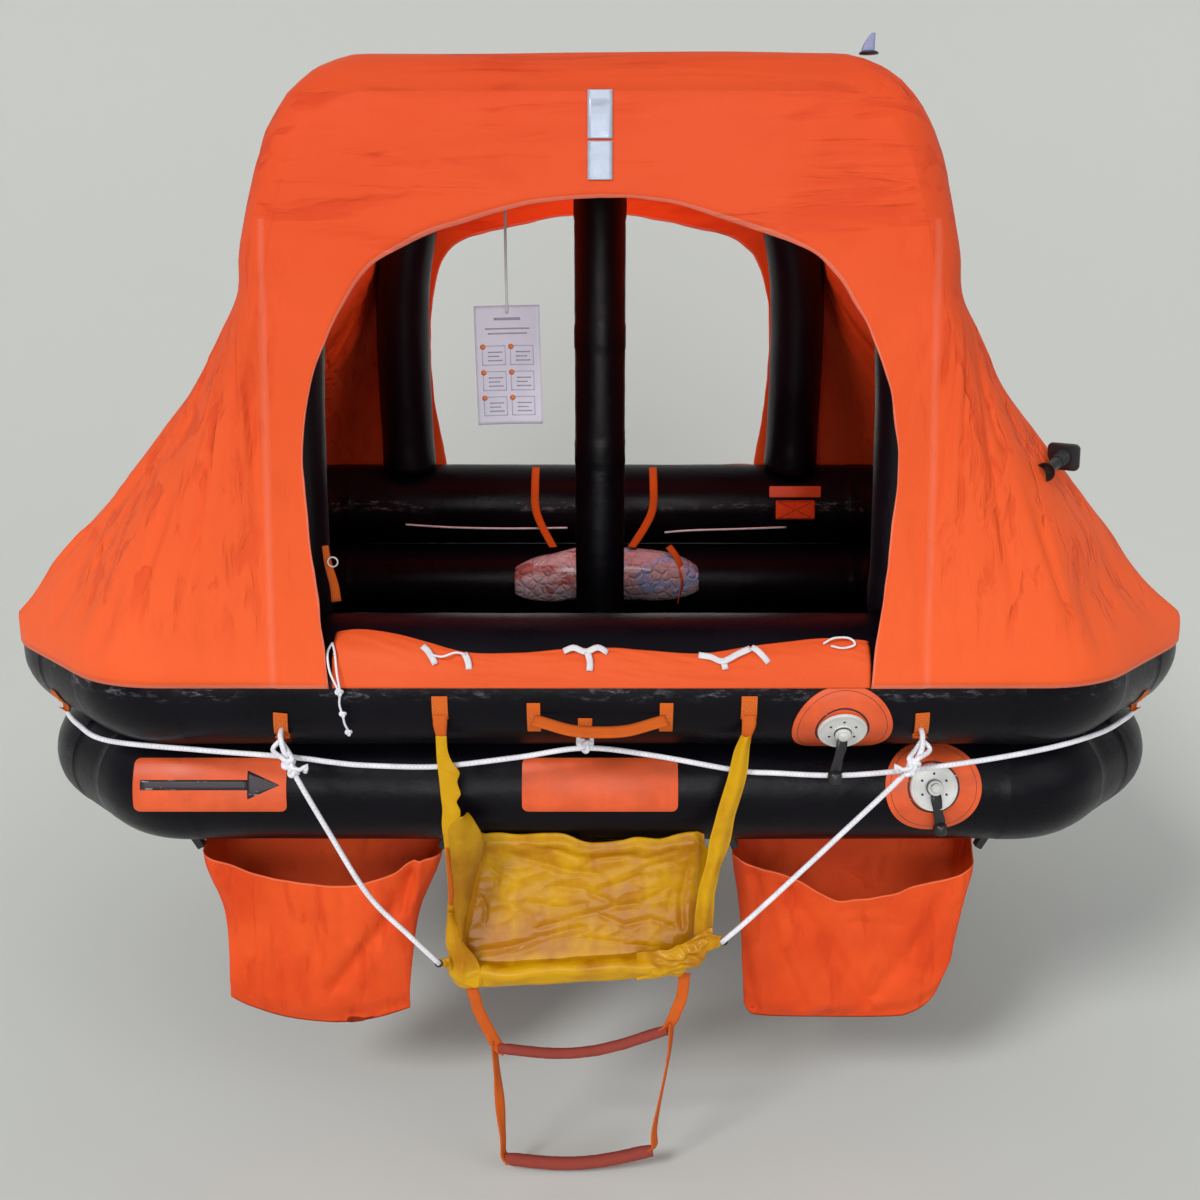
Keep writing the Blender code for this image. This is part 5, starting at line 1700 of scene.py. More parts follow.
def rungPlace(rung, t):
    z = rung["z"] + rung["tilt"] * t - rung["sag"] * (1 - t * t) ** 1.4
    return Vector((rung["x"] + rung["half"] * t, ladderLooks["y"], z))


def rungMesh(rung, seed):
    line = [rungPlace(rung, k / 40 - 1) for k in range(81)]

    def radiusAt(w, angle):
        flat = 1 - 0.25 * abs(math.sin(angle)) * step01(abs(2 * w - 1), 0.86, 1.0)
        grain = 0.0006 * ripple((w, math.cos(angle), math.sin(angle)), (30, 1, 1), seed) - 0.0006
        return (ladderLooks["radius"] + grain) * flat * rung["thick"]

    return tubeMesh(line, radiusAt, 24, Vector((0, 1, 0)), ratio=0.92)


for k, (label, rung) in enumerate(ladderLooks["rungs"].items()):
    makePiece(
        "ladderRung" + label.capitalize(), rungMesh(rung, k * 5), "rung", "ladder", standsFor=("rung_" + label,)
    )


def twistedBand(line, width, turns, startTurn):
    frames = lineFrames(line, Vector((0, 1, 0)))
    rows = len(line) - 1

    def placeAt(u, w):
        here, side, over, _ = frames[round(w * rows)]
        turn = startTurn + turns(w)
        lay = side * math.cos(turn) + over * math.sin(turn)
        wave = 0.0012 * ripple((w * 8, u, 0), (1, 1, 1))
        return here + lay * (width * (u - 0.5)) + over * wave

    return sheetMesh(4, rows, placeAt, (width, Track(line).length))


# each web's top three points as (x, z), the upper part's bend and the lower part's twist
ladderWebs = {
    -1: (
        "Left", ((-0.2560, -0.2668), (-0.2450, -0.300), (-0.2385, -0.330)), 0.35,
        lambda w: 0.75 - 0.55 * math.exp(-(((w - 0.5) / 0.16) ** 2)),
    ),
    1: (
        "Right", ((0.1650, -0.2480), (0.1600, -0.300), (0.1500, -0.330)), -0.2,
        lambda w: 0.58 + 0.22 * math.sin(4 * w),
    ),
}
for side, (label, top, bend, twist) in ladderWebs.items():
    ends = {key: rungPlace(rung, side) for key, rung in ladderLooks["rungs"].items()}

    def besideRung(key, offsets):
        return [ends[key] + Vector((side * x, y, z)) for x, y, z in offsets]

    upper = [(x, ladderLooks["y"], z) for x, z in top] + besideRung(
        "upper", ((0.012, 0, 0.028), (-0.001, 0, 0.004), (-0.014, 0, -0.004))
    )
    lower = besideRung("upper", ((0.009, 0, 0.020), (0.004, 0.001, -0.06))) + besideRung(
        "lower", ((0.004, 0, 0.06), (0.003, 0, 0.010), (-0.012, 0, -0.003))
    )
    parts = [
        twistedBand(
            smoothLine(upper, 0.005), 0.0225, lambda w: bend * math.sin(math.pi * w) + 0.55 * step01(w, 0.55, 1.0),
            0.0
        ),
        twistedBand(smoothLine(lower, 0.005), 0.0215, twist, 0.45),
    ]
    makePiece(
        "ladderWeb" + label, mergeMeshes(parts), "webbing", "ladder", thickness=0.0024,
        standsFor=("ladder_web_" + label.lower(),)
    )
print("ladder made")

# Relief valves, each with a thin black ring and a wider black ring painted as the shadow in the gap round the disc

# flange, hub, collar, hole and plug are (radius, height) outlines; rings are a radius and a line's width, the second
# ring a painted shadow in the gap round the disc
valveLooks = {
    "patch": 0.0920,
    "disc": 1.085,
    "rings": ((0.0820, 0.0010), (0.0480, 0.0036)),
    "flange": (
        (0.0, 0.0006), (0.0405, 0.0006), (0.0415, 0.0018), (0.0415, 0.0052), (0.0400, 0.0066), (0.0372, 0.0068),
        (0.0362, 0.0058), (0.0300, 0.0058), (0.0165, 0.0066), (0.0158, 0.0088), (0.0, 0.0092),
    ),
    "hub": (
        (0.0, 0.0086), (0.0135, 0.0086), (0.0135, 0.0160), (0.0124, 0.0172), (0.0096, 0.0176), (0.0090, 0.0196),
        (0.0080, 0.0222), (0.0050, 0.0236), (0.0, 0.0238),
    ),
    "collar": (
        (0.0136, 0.0092), (0.0156, 0.0092), (0.0162, 0.0104), (0.0156, 0.0116), (0.0136, 0.0118), (0.0134, 0.0105),
        (0.0136, 0.0092),
    ),
    "hole": ((0.0, 0.0), (0.0024, 0.0), (0.0024, 0.0004), (0.0, 0.0005)),
    "holes": {"count": 6, "radius": 0.0265, "z": 0.0060},
    "plug": (
        (0.0, 0.003), (0.0095, 0.002), (0.0120, 0.0), (0.0132, -0.006), (0.0138, -0.014), (0.0130, -0.018),
        (0.0112, -0.019), (0.0, -0.0195),
    ),
}
valveSpots = {
    "upper": {
        "x": 0.445, "turn": -28, "tube": upperTube,
        "hang": [(0.444, -0.953, 0.244), (0.4425, -0.957, 0.228), (0.438, -0.956, 0.205), (0.434, -0.954, 0.178)],
    },
    "lower": {
        "x": 0.636, "turn": 18, "tube": lowerTube,
        "hang": [(0.637, -0.908, 0.112), (0.639, -0.911, 0.098), (0.645, -0.909, 0.070), (0.650, -0.907, 0.050)],
    },
}


def valveHead():
    # a flange, its raised rim, a hub and a small dome on top
    whole = mergeMeshes([spinMesh(valveLooks["flange"], 64), spinMesh(valveLooks["hub"], 40)])
    bmesh.ops.scale(whole, vec=(valveLooks["disc"], valveLooks["disc"], 1), verts=whole.verts[:])
    return whole


def valvePiece(label, spot):
    tube, turn = spot["tube"], math.radians(spot["turn"])
    title = label.capitalize()
    patch = layOn(roundPlate(valveLooks["patch"], 0.0030, 0.005, 72), spot["x"], turn, tube, lift=0.0006)
    sharpen(makePiece("valvePatch" + title, patch, "label", standsFor=("valve_" + label + "_patch",)))
    # a thin black ring and a wider one that paints the shadow in the gap round the disc
    rings = []
    for radius, wide in valveLooks["rings"]:
        ring = tubeMesh(ringPoints(radius, 96), wide / 2, 6, cyclic=True)
        bmesh.ops.scale(ring, vec=(1, 1, 0.4), verts=ring.verts[:])
        rings.append(layOn(ring, spot["x"], turn, tube, lift=0.0036))
    makePiece("valveRingAndShadowRing" + title, mergeMeshes(rings), "print")
    seat = tubeSeat(spot["x"], turn, tube, lift=0.0022)
    head = makePiece(
        "valveHead" + title, setDown(valveHead(), seat), "greyPart", standsFor=("valve_" + label + "_body",)
    )
    sharpen(head, 30)
    holes, layout = [], valveLooks["holes"]
    for k in range(layout["count"]):
        angle = 2 * math.pi * (k + 0.5) / layout["count"]
        spread = (layout["radius"] * math.cos(angle), layout["radius"] * math.sin(angle), layout["z"])
        holes.append(moveMesh(spinMesh(valveLooks["hole"], 16), spread))
    holes.append(spinMesh(valveLooks["collar"], 40))
    makePiece("valveHoles" + title, setDown(mergeMeshes(holes), seat), "blackPart")
    # the cap's retaining strap hangs from the collar, free of the tube
    line = smoothLine(spot["hang"], 0.004)
    strap = bandMesh(line, lambda w: 0.0195 + 0.0014 * math.sin(9 * w), Vector((1, 0.2, 0)))
    makePiece("valveStrap" + title, strap, "blackPart", thickness=0.0018)
    makePiece("valvePlug" + title, moveMesh(spinMesh(valveLooks["plug"], 32), line[-1]), "blackPart")


for label, spot in valveSpots.items():
    valvePiece(label, spot)
print("valves made")

# Plates on the lower tube; the middle one is bare

plateLooks = {"turn": 20, "height": 0.104, "corner": 0.012, "thickness": 0.0022}


def platePiece(name, node, x, width):
    plate = roundedPlate(width, plateLooks["height"], plateLooks["corner"], plateLooks["thickness"], 0.006)
    plate = layOn(plate, x, math.radians(plateLooks["turn"]), lowerTube, lift=0.0006)
    sharpen(makePiece(name, plate, "label", standsFor=(node,)))


platePiece("arrowPlate", "arrow_plate", -0.745, 0.293)
platePiece("numberPlate", "number_plate", 0.0, 0.298)


def arrowMesh():
    shaft = bmesh.new()
    bmesh.ops.create_grid(shaft, x_segments=24, y_segments=3, size=0.5)
    bmesh.ops.scale(shaft, vec=(0.205, 0.019, 1), verts=shaft.verts[:])
    moveMesh(shaft, (-0.030, 0, 0))
    head = bmesh.new()
    bmesh.ops.create_grid(head, x_segments=10, y_segments=6, size=0.5)
    for vert in head.verts:
        vert.co = Vector((0.072 + 0.062 * (vert.co.x + 0.5), 0.054 * vert.co.y * (0.5 - vert.co.x), 0))
    bmesh.ops.remove_doubles(head, verts=head.verts[:], dist=0.0001)
    whole = mergeMeshes([shaft, head])
    made = bmesh.ops.extrude_face_region(whole, geom=whole.faces[:])
    bmesh.ops.translate(
        whole, vec=(0, 0, 0.0004), verts=[g for g in made["geom"] if isinstance(g, bmesh.types.BMVert)]
    )
    return whole


makePiece("arrowPrint", layOn(arrowMesh(), -0.745, math.radians(plateLooks["turn"]), lowerTube, lift=0.0027), "print")
print("plates made")

# Carry handles, rope tabs and the ramp's anchors

webLooks = {"lift": 0.0008, "thickness": 0.0016}


def webPatch(name, x, turn, tube, width, height, side=-1, standsFor=(), tilt=0.0):
    patch = roundedPlate(width, height, 0.0012, webLooks["thickness"], 0.004, 0.0004)
    patch = layOn(patch, x, math.radians(turn), tube, side, webLooks["lift"], tilt)
    makePiece(name, patch, "webbing", standsFor=standsFor)
    seat = tubeSeat(x, math.radians(turn), tube, side, webLooks["lift"] + webLooks["thickness"] + 0.0003, tilt)
    makePiece(name + "Stitches", mergeMeshes(patchStitch(width, min(height, width * 1.25), seat)), "thread")


def carryHandle(label, side):
    half = ((0.121, 0.0035, -0.034), (0.10, 0.010, -0.037), (0.05, 0.019, -0.048))
    whole = [(-x, y, z) for x, y, z in half] + [(0.0, 0.022, -0.050)] + list(reversed(half))
    line = [(x, side * (raft["halfY"] + 0.129 + y), raft["upperZ"] + z) for x, y, z in whole]
    band = bandMesh(smoothLine(line, 0.006), 0.0235, Vector((0, -side * 0.80, 0.60)), columns=4)
    makePiece("carryHandle" + label, band, "webbing", thickness=0.0026, standsFor=("carry_handle_" + label.lower(),))
    for x in (line[0][0], line[-1][0]):
        webPatch("handlePatch" + label + ("Left" if x < 0 else "Right"), x, -16, upperTube, 0.0245, 0.064, side)


carryHandle("Front", -1)
carryHandle("Rear", 1)
for side, label in ((-1, "Left"), (1, "Right")):
    webPatch(
        "rampAnchor" + label, rampLooks["anchors"][side], -6, upperTube, 0.029, 0.046,
        standsFor=("ramp_anchor_" + label.lower(),)
    )


def ropeTab(name, x, turn, side, tilt):
    height = 0.052
    webPatch(name, x, turn, upperTube, 0.026, height, side, tilt=tilt)
    # the free end folds out into a small eye for the rope
    eye = []
    for k in range(9):
        angle = math.pi * (k / 8) * 1.15
        spot = (0, -height / 2 - 0.006 * math.sin(angle), 0.0015 + 0.0075 * (1 - math.cos(angle)) / 2)
        eye.append(ontoTube(spot, x, math.radians(turn), upperTube, side, webLooks["lift"]))
    makePiece(name + "Eye", bandMesh(smoothLine(eye, 0.0025), 0.025), "webbing", thickness=0.0018)


for label, (x, z, tilt) in tabSpots.items():
    turn = math.degrees(math.asin((z - raft["upperZ"]) / raft["tubeR"])) * 0.80
    ropeTab("ropeTabFront" + label.capitalize(), x, turn, -1, tilt * 0.4)
    ropeTab("ropeTabRear" + label.capitalize(), -x, turn, 1, tilt * 0.4)


def cornerTab(name, sx, sy):
    # where a lifeline is made fast on the tube's slanting corner
    turn = math.radians(-33)
    out = Vector((sx * 0.7071 * math.cos(turn), sy * 0.7071 * math.cos(turn), math.sin(turn)))
    up = Vector((-sx * 0.7071 * math.sin(turn), -sy * 0.7071 * math.sin(turn), math.cos(turn)))
    seat = seatAt(Vector((sx * 0.9965, sy * 0.6815, raft["upperZ"])) + out * (raft["tubeR"] + 0.0012), up, out)
    tab = roundedPlate(0.026, 0.044, 0.0012, webLooks["thickness"], 0.004, 0.0004)
    for vert in tab.verts:
        vert.co.z -= vert.co.y**2 / (2 * raft["tubeR"])
    makePiece(name, setDown(tab, seat), "webbing")
    stitches = patchStitch(0.026, 0.030, seat @ Matrix.Translation((0, 0.004, webLooks["thickness"] + 0.0002)))
    makePiece(name + "Stitches", mergeMeshes(stitches), "thread")
    turns = [math.pi * k / 8 for k in range(9)]
    eye = [seat @ Vector((0, -0.019 - 0.007 * math.sin(t), 0.0005 + 0.0045 * (1 - math.cos(t)))) for t in turns]
    makePiece(name + "Eye", bandMesh(eye, 0.025, up.cross(out), columns=2), "webbing", thickness=0.0018)


for sx, sy, name in ((-1, -1, "FrontLeft"), (1, -1, "FrontRight"), (-1, 1, "RearLeft"), (1, 1, "RearRight")):
    cornerTab("cornerTab" + name, sx, sy)


def rampCorner(name, base, tip, seed):
    # a crumpled corner of the sheet, drawn out to the bridle's eyelet
    base, tip = [Vector(p) for p in base], [Vector(p) for p in tip]

    def placeAt(u, w):
        spot = base[0].lerp(base[1], w).lerp(tip[0].lerp(tip[1], w), u)
        crumple = 0.0050 * ripple((u * 0.06, w * 0.05, 0), (70, 60, 1), seed) + 0.004 * math.sin(math.pi * u)
        return spot + Vector((0.3, -0.9, 0.3)) * crumple

    ear = makePiece(name, sheetMesh(16, 14, placeAt, (0.05, 0.05)), "ramp", "ramp", thickness=0.0024, levels=1)
    middle = (tip[0] + tip[1]) / 2
    makePiece(name + "Eyelet", standingRing(middle - Vector((0, 0.003, 0)), 0.0065, 24, 0.0018), "blackPart", "ramp")


rampCorner(
    "rampEarLeft", ((-0.284, -0.970, -0.196), (-0.284, -0.970, -0.224)),
    ((-0.309, -0.984, -0.194), (-0.305, -0.982, -0.208)), 5
)
rampCorner(
    "rampEarRight", ((0.200, -0.972, -0.140), (0.200, -0.972, -0.186)),
    ((0.236, -0.982, -0.147), (0.234, -0.980, -0.163)), 9
)


def flapPoint(x, degrees, lift):
    reach = flapLooks["outer"] + 0.002 + lift
    angle = math.radians(degrees)
    return Vector((x, -(raft["halfY"] + reach * math.cos(angle)), raft["upperZ"] + reach * math.sin(angle)))


tieTapes = (
    ((-0.322, 44, 0.003), (-0.312, 40, 0.006), (-0.302, 34, 0.004), (-0.297, 30, 0.001)),
    ((-0.246, 38, 0.003), (-0.241, 35, 0.005), (-0.237, 30, 0.003), (-0.236, 26, 0.001)),
    ((-0.066, 40, 0.001), (-0.048, 42, 0.006), (-0.026, 39, 0.005), (-0.004, 42, 0.007), (0.014, 39, 0.001)),
    ((-0.024, 39, 0.005), (-0.020, 35, 0.006), (-0.018, 30, 0.003), (-0.019, 25, 0.001)),
    ((0.178, 37, 0.001), (0.200, 35, 0.005), (0.221, 32, 0.004), (0.248, 37, 0.006), (0.272, 42, 0.003)),
    ((0.219, 33, 0.005), (0.224, 30, 0.003), (0.226, 26, 0.001)),
    ((0.274, 43, 0.003), (0.284, 40, 0.006), (0.296, 35, 0.004), (0.304, 31, 0.001)),
)


def flapLine(points, step):
    return smoothLine([flapPoint(*p) for p in points], step)


for k, points in enumerate(tieTapes):
    line = flapLine(points, 0.005)
    direct = (line[-1] - line[0]).normalized()
    outward = Vector((0, -0.78, 0.62))
    makePiece(f"tieTape{k + 1}", bandMesh(line, 0.0115, direct.cross(outward)), "tape", thickness=0.0008)
# each tie cord with its knots: place, turn round the tube and lift; then the step, how it lies and where it ends
tieCords = {
    "tieCordLeft": (
        ((-0.306, 37, 0.005), (-0.285, 35, 0.007), (-0.262, 38, 0.007), (-0.243, 37, 0.005)), 0.004, "loose",
        "object",
    ),
    "tieLoopRight": (
        (
            (0.405, 46, 0.002), (0.425, 50, 0.005), (0.452, 50, 0.005), (0.462, 45, 0.004), (0.440, 42, 0.004),
            (0.418, 44, 0.003),
        ),
        0.004, "loose", "object",
    ),
    "tieCordHanging": (
        (
            (-0.486, 47, 0.001), (-0.479, 38, 0.004), (-0.473, 22, 0.004), (-0.468, 10, 0.003), (-0.470, 0, 0.002),
            (-0.466, -9, 0.001), (-0.464, -17, 0.001), (-0.459, -24, 0.001),
        ),
        0.005, "hanging", "knot",
    ),
}
tieRadius = 0.0021
tieKnots = (
    ((-0.469, 9, 0.004), 0.0060, 0.0026), ((-0.465, -8, 0.003), 0.0050, 0.0024),
    ((-0.459, -25, 0.003), 0.0050, 0.0024),
)
returned = flapLine(((-0.486, 47, 0.001), (-0.492, 38, 0.004), (-0.486, 24, 0.004), (-0.470, 10, 0.004)), 0.005)
knotted = [knotMesh(flapPoint(*spot), wide, facing, wire) for spot, wide, wire in tieKnots]
knotted.append(tubeMesh(returned, tieRadius, 8))
for name, (points, step, lay, farEnd) in tieCords.items():
    more = {}
    if farEnd == "knot":
        more["with_pieces"] = [makePiece("tieCordKnots", mergeMeshes(knotted), "rope")]
    line = flapLine(points, step)
    declareCord(makePiece(name, tubeMesh(line, tieRadius, 8), "rope"), line, 2 * tieRadius, lay, farEnd, **more)
print("webbing fittings made")

# Instruction card on its tape

cardLooks = {"x": -0.185, "y": -0.55, "top": 1.0, "width": 0.130, "height": 0.235}


def cardPoint(px, pz):
    # px from -0.5 to 0.5 across, pz from 0 at the top to 1 at the foot
    curl = 0.006 * math.sin(math.pi * (px + 0.5)) - 0.004 * math.sin(math.pi * pz)
    skew = 0.004 * pz
    x = cardLooks["x"] + cardLooks["width"] * px + skew
    return Vector((x, cardLooks["y"] + curl, cardLooks["top"] - cardLooks["height"] * pz + 0.003 * px))


def cardFlat(left, right, top, foot, lift, columns=1, rows=1):
    def placeAt(u, w):
        return cardPoint(left + (right - left) * u, foot + (top - foot) * w) - Vector((0, lift, 0))

    return sheetMesh(columns, rows, placeAt)


cardFace = mouldedPlastic("cardFace", (0.72, 0.68, 0.80), 0.4, 0.06)
makePiece(
    "instructionCard", cardFlat(-0.5, 0.5, 0.0, 1.0, 0.0, 20, 30), cardFace, "card", thickness=0.0009,
    slotName="card", standsFor=("instruction_card",)
)
printGrey = mouldedPlastic("cardPrint", (0.38, 0.36, 0.46), 0.5, 0.05)
printOrange = mouldedPlastic("cardDot", (0.85, 0.22, 0.06), 0.5, 0.05)
printParts, dotParts = [], []
for row in range(3):
    for column in range(2):
        left = -0.40 + 0.43 * column
        top = 0.33 + 0.215 * row
        right, foot = left + 0.36, top + 0.165
        for a, b, c, d in (
            (left, right, top, top + 0.006), (left, right, foot - 0.006, foot), (left, left + 0.010, top, foot),
            (right - 0.010, right, top, foot),
        ):
            printParts.append(cardFlat(a, b, c, d, 0.0008, 4, 4))
        for k in range(3):
            printParts.append(
                cardFlat(
                    left + 0.09, right - 0.05 - 0.05 * (k % 2), top + 0.05 + 0.035 * k, top + 0.060 + 0.035 * k,
                    0.0008, 4, 1
                )
            )
        dot = bmesh.new()
        bmesh.ops.create_circle(dot, cap_ends=True, segments=20, radius=0.0055)
        bmesh.ops.rotate(dot, matrix=Matrix.Rotation(math.radians(90), 3, "X"), verts=dot.verts[:])
        dotParts.append(moveMesh(dot, cardPoint(left + 0.015, top + 0.01) - Vector((0, 0.0011, 0))))
for k, (half, top) in enumerate(((0.20, 0.10), (0.34, 0.185), (0.30, 0.225))):
    printParts.append(cardFlat(-half, half, top, top + (0.022 if k == 0 else 0.012), 0.0008, 8, 1))
makePiece("cardPrinting", mergeMeshes(printParts), printGrey, "card", thickness=0.0002, slotName="card")
makePiece("cardDots", mergeMeshes(dotParts), printOrange, "card", thickness=0.0002, slotName="card")
tapeRoute = ((0, 0, 1.4370), (0.001, 0.0010, 1.25), (0.0005, -0.0004, 1.10), (0.001, 0, 0.985))
tapeLine = smoothLine([(cardLooks["x"] + x, cardLooks["y"] + y, z) for x, y, z in tapeRoute], 0.01)
makePiece(
    "cardTape", bandMesh(tapeLine, 0.0055, Vector((1, 0.2, 0)), columns=2), "tape", "card", thickness=0.0007,
    standsFor=("card_tape",)
)
print("card made")

# Things inside: equipment bag on its straps, knife pocket, grab lines

# strap: share of its lean with the place behind the rear tube
bagLooks = {
    "centre": (0.02, 0.575, 0.158),
    "size": (0.52, 0.125, 0.135),
    "swell": 0.016,
    "frames": 16,
    "strap": ((0.5, 0.690, 0.318), (2, 0.652, 0.284), (4, 0.604, 0.252), (5, 0.560, 0.243)),
}


def bagPiece():
    cx, cy, cz = bagLooks["centre"]
    bm = boxMesh(bagLooks["size"])
    bmesh.ops.subdivide_edges(bm, edges=bm.edges[:], cuts=14, use_grid_fill=True)
    for vert in bm.verts:
        x, y, z = (place / whole * 2 for place, whole in zip(vert.co, bagLooks["size"]))
        pinch = 1 - 0.45 * abs(x) ** 5
        vert.co.z *= pinch * (1 - 0.20 * y * y)
        vert.co.y *= 1 - 0.25 * abs(x) ** 4 - 0.15 * z * z
        vert.co.z -= 0.012 * (1 - math.cos(2.4 * x))
        vert.co += Vector((cx, cy, cz)) + Vector((0, 0.6, 1)) * 0.008 * ripple(vert.co, (14, 20, 20), 3)
    paint = Paint("clearFoilBag", (0.62, 0.46, 0.48), 0.16, **{"Coat Roughness": 0.06})
    where = paint.coords()
    patches = paint.cloud(paint.coords(scale=(1, 1.6, 1.6)), 11.0, 2.0, 0.4, 0.6)
    x, _, _ = paint.axes(where)
    left = paint.blend(paint.ramp(patches, 0.40, 0.56), (0.50, 0.20, 0.18), (0.72, 0.62, 0.68))
    right = paint.blend(paint.ramp(patches, 0.50, 0.56), (0.55, 0.42, 0.46), (0.34, 0.44, 0.70))
    paint.put("Base Color", paint.blend(paint.ramp(x, 0.0, 0.10), left, right))
    paint.put("Coat Weight", paint.ramp(patches, 0.3, 0.7, (0.4, 0.9)))
    crinkle = paint.node("ShaderNodeTexVoronoi", {"feature": "DISTANCE_TO_EDGE"}, {"Vector": where, "Scale": 38.0})
    paint.bump(paint.ramp(crinkle, 0.0, 0.25) + paint.cloud(where, 45.0, 5.0, 0.7, 1.2) * 1.5, 0.0040, 0.9)
    bag = makePiece("equipmentBag", bm, paint.material, slotName="clear_bag", standsFor=("equipment_bag",), levels=1)
    swellBag(bag)


def swellBag(bag):
    # the filled bag swells and puckers, each point moving no more than a set distance
    smoother = bag.modifiers["smooth"]
    bag.modifiers.remove(smoother)
    start = [v.co.copy() for v in bag.data.vertices]
    cloth = bag.modifiers.new("swell", "CLOTH")
    settings = cloth.settings
    settings.quality = 6
    settings.mass = 0.25
    settings.tension_stiffness = settings.compression_stiffness = 18
    settings.bending_stiffness = 0.4
    settings.use_pressure = True
    settings.uniform_pressure_force = 4.0
    settings.effector_weights.gravity = 0.0
    settings.shrink_min = -0.10
    cloth.point_cache.frame_start, cloth.point_cache.frame_end = 1, bagLooks["frames"]
    for count in range(1, bagLooks["frames"] + 1):
        scene.frame_set(count)
    graph = bpy.context.evaluated_depsgraph_get()
    swollen = [v.co.copy() for v in bag.evaluated_get(graph).data.vertices]
    bag.modifiers.remove(cloth)
    scene.frame_set(1)
    for vert, a, b in zip(bag.data.vertices, start, swollen):
        move = b - a
        if move.length > bagLooks["swell"]:
            move = move.normalized() * bagLooks["swell"]
        vert.co = a + move
    smoother = bag.modifiers.new("smooth", "SUBSURF")
    smoother.levels = smoother.render_levels = 1


bagPiece()
for x, lean, label in ((-0.20, -0.012, "left"), (0.165, 0.014, "right")):
    over = arcLine(x, raft["halfY"], raft["upperZ"], raft["tubeR"] + 0.0018, (105, 120, 135, 150, 165))
    down = [(x - lean * share, y, z) for share, y, z in bagLooks["strap"]]
    strap = bandMesh(smoothLine(over + down, 0.008), 0.024, Vector((1, 0, 0)), Vector((1, 0.25, 0)))
    makePiece("bagStrap" + label.capitalize(), strap, "webbing", thickness=0.002, standsFor=("bag_strap_" + label,))
loop = smoothLine(
    [
        (0.205, 0.560, 0.245), (0.235, 0.535, 0.205), (0.245, 0.512, 0.150), (0.236, 0.500, 0.110),
        (0.230, 0.490, 0.085),
    ],
    0.008
)
makePiece("bagTail", twistedBand(loop, 0.020, lambda w: 1.2 * w, 0.3), "webbing", thickness=0.002)


def knifePocket():
    # a bare label above a sewn pouch with a crossed seam, on the rear tube's inner side
    seat = tubeSeat(0.600, math.radians(180 - 12), upperTube, 1, 0.0012, math.pi)
    label = roundedPlate(0.158, 0.034, 0.003, 0.0012, 0.01)
    makePiece("knifeLabel", setDown(moveMesh(label, (0, 0.036, 0)), seat), "label")
    pouch = boxMesh((0.120, 0.058, 0.016), 0.005, 3)
    bmesh.ops.subdivide_edges(pouch, edges=pouch.edges[:], cuts=3, use_grid_fill=True)
    for vert in pouch.verts:
        vert.co.z *= 0.55 + 0.45 * math.cos(vert.co.x / 0.06 * 1.2) * math.cos(vert.co.y / 0.029 * 1.0)
        vert.co += Vector((0, -0.020, 0.0075))
    pouchPiece = makePiece("knifePouch", setDown(pouch, seat), "pockets", levels=1, standsFor=("knife_pocket",))
    cross = []
    # a cross and two level rows, each from side to side: half its width and its heights
    for half, low, high in (
        (0.050, -0.044, 0.004), (0.050, 0.004, -0.044), (0.055, 0.006, 0.006), (0.055, -0.046, -0.046),
    ):
        row = stitchRow([Vector((-half, low, 0.0150)), Vector((half, high, 0.0150))], 0.006, 0.003, 0.0016)
        cross += [setDown(part, seat) for part in row]
    makePiece("knifeStitches", mergeMeshes(cross), "blackPart", slotName="label_orange")


knifePocket()
tabRoute = ((-0.5035, -0.858, 0.586), (-0.5000, -0.856, 0.550), (-0.4920, -0.854, 0.510), (-0.4900, -0.852, 0.478))
tab = bandMesh(smoothLine(tabRoute, 0.006), lambda w: 0.012 + 0.006 * w, Vector((1, 0.3, 0)))
makePiece("entranceTab", tab, "webbing", thickness=0.0016)
makePiece("entranceRing", standingRing((-0.4905, -0.861, 0.556), 0.009, 32, 0.0016), "greyPart")
for label, points in (
    ("Left", [(-0.60, 0.700, 0.280), (-0.45, 0.696, 0.272), (-0.28, 0.695, 0.269), (-0.10, 0.700, 0.270)]),
    ("Right", [(0.20, 0.698, 0.256), (0.28, 0.695, 0.263), (0.44, 0.695, 0.268), (0.575, 0.700, 0.272)]),
):
    line = smoothLine(points, 0.012)
    grab = makePiece("grabLine" + label, tubeMesh(line, 0.0032, 8), "rope")
    declareCord(grab, line, 0.0064, "hanging")
print("inside made")

# Fittings on the canopy and under the tube


def onCanopy(origin, direction, lift=0.0):
    hit, normal, _, _ = canopyTree.ray_cast(Vector(origin), Vector(direction).normalized())
    if normal.dot(Vector(direction)) > 0:
        normal = -normal
    return hit + normal * lift, normal


def canopyStrip(points, half, lift, columns=6):
    # a tape that follows the cloth: points are (x, z, towards y) pairs seen from the front
    line = Track(smoothLine([(x, 0, z) for x, z in points], 0.008)).spread(40)

    def placeAt(u, w):
        here = line[round(w * 39)]
        hit, _ = onCanopy((here.x + (u - 0.5) * 2 * half, -2.0, here.z), (0, 1, 0), lift)
        return hit

    return sheetMesh(columns, 39, placeAt, (2 * half, Track(line).length))


silverPaint = Paint("silverTape", (0.46, 0.52, 0.62), 0.35, Metallic=0.35)
silverWhere = silverPaint.coords()
silverSoil = silverPaint.cloud(silverWhere, 60.0, 5.0, 0.65)
silverPaint.put("Base Color", silverPaint.blend(silverSoil, (0.34, 0.40, 0.52), (0.60, 0.66, 0.76)))
silverPaint.put("Roughness", silverPaint.ramp(silverSoil, 0.3, 0.7, (0.28, 0.46)))
silverGrain = {"Vector": silverPaint.coords(scale=(1, 0.3, 1)), "Scale": 420.0}
silverCells = silverPaint.node("ShaderNodeTexVoronoi", {"feature": "DISTANCE_TO_EDGE"}, silverGrain)
silverDents = silverPaint.cloud(silverWhere, 16.0, 4.0, 0.6) * 1.2
silverPaint.bump(silverPaint.ramp(silverCells, 0.0, 0.08) * 0.25 + silverDents, 0.0015, 0.8)
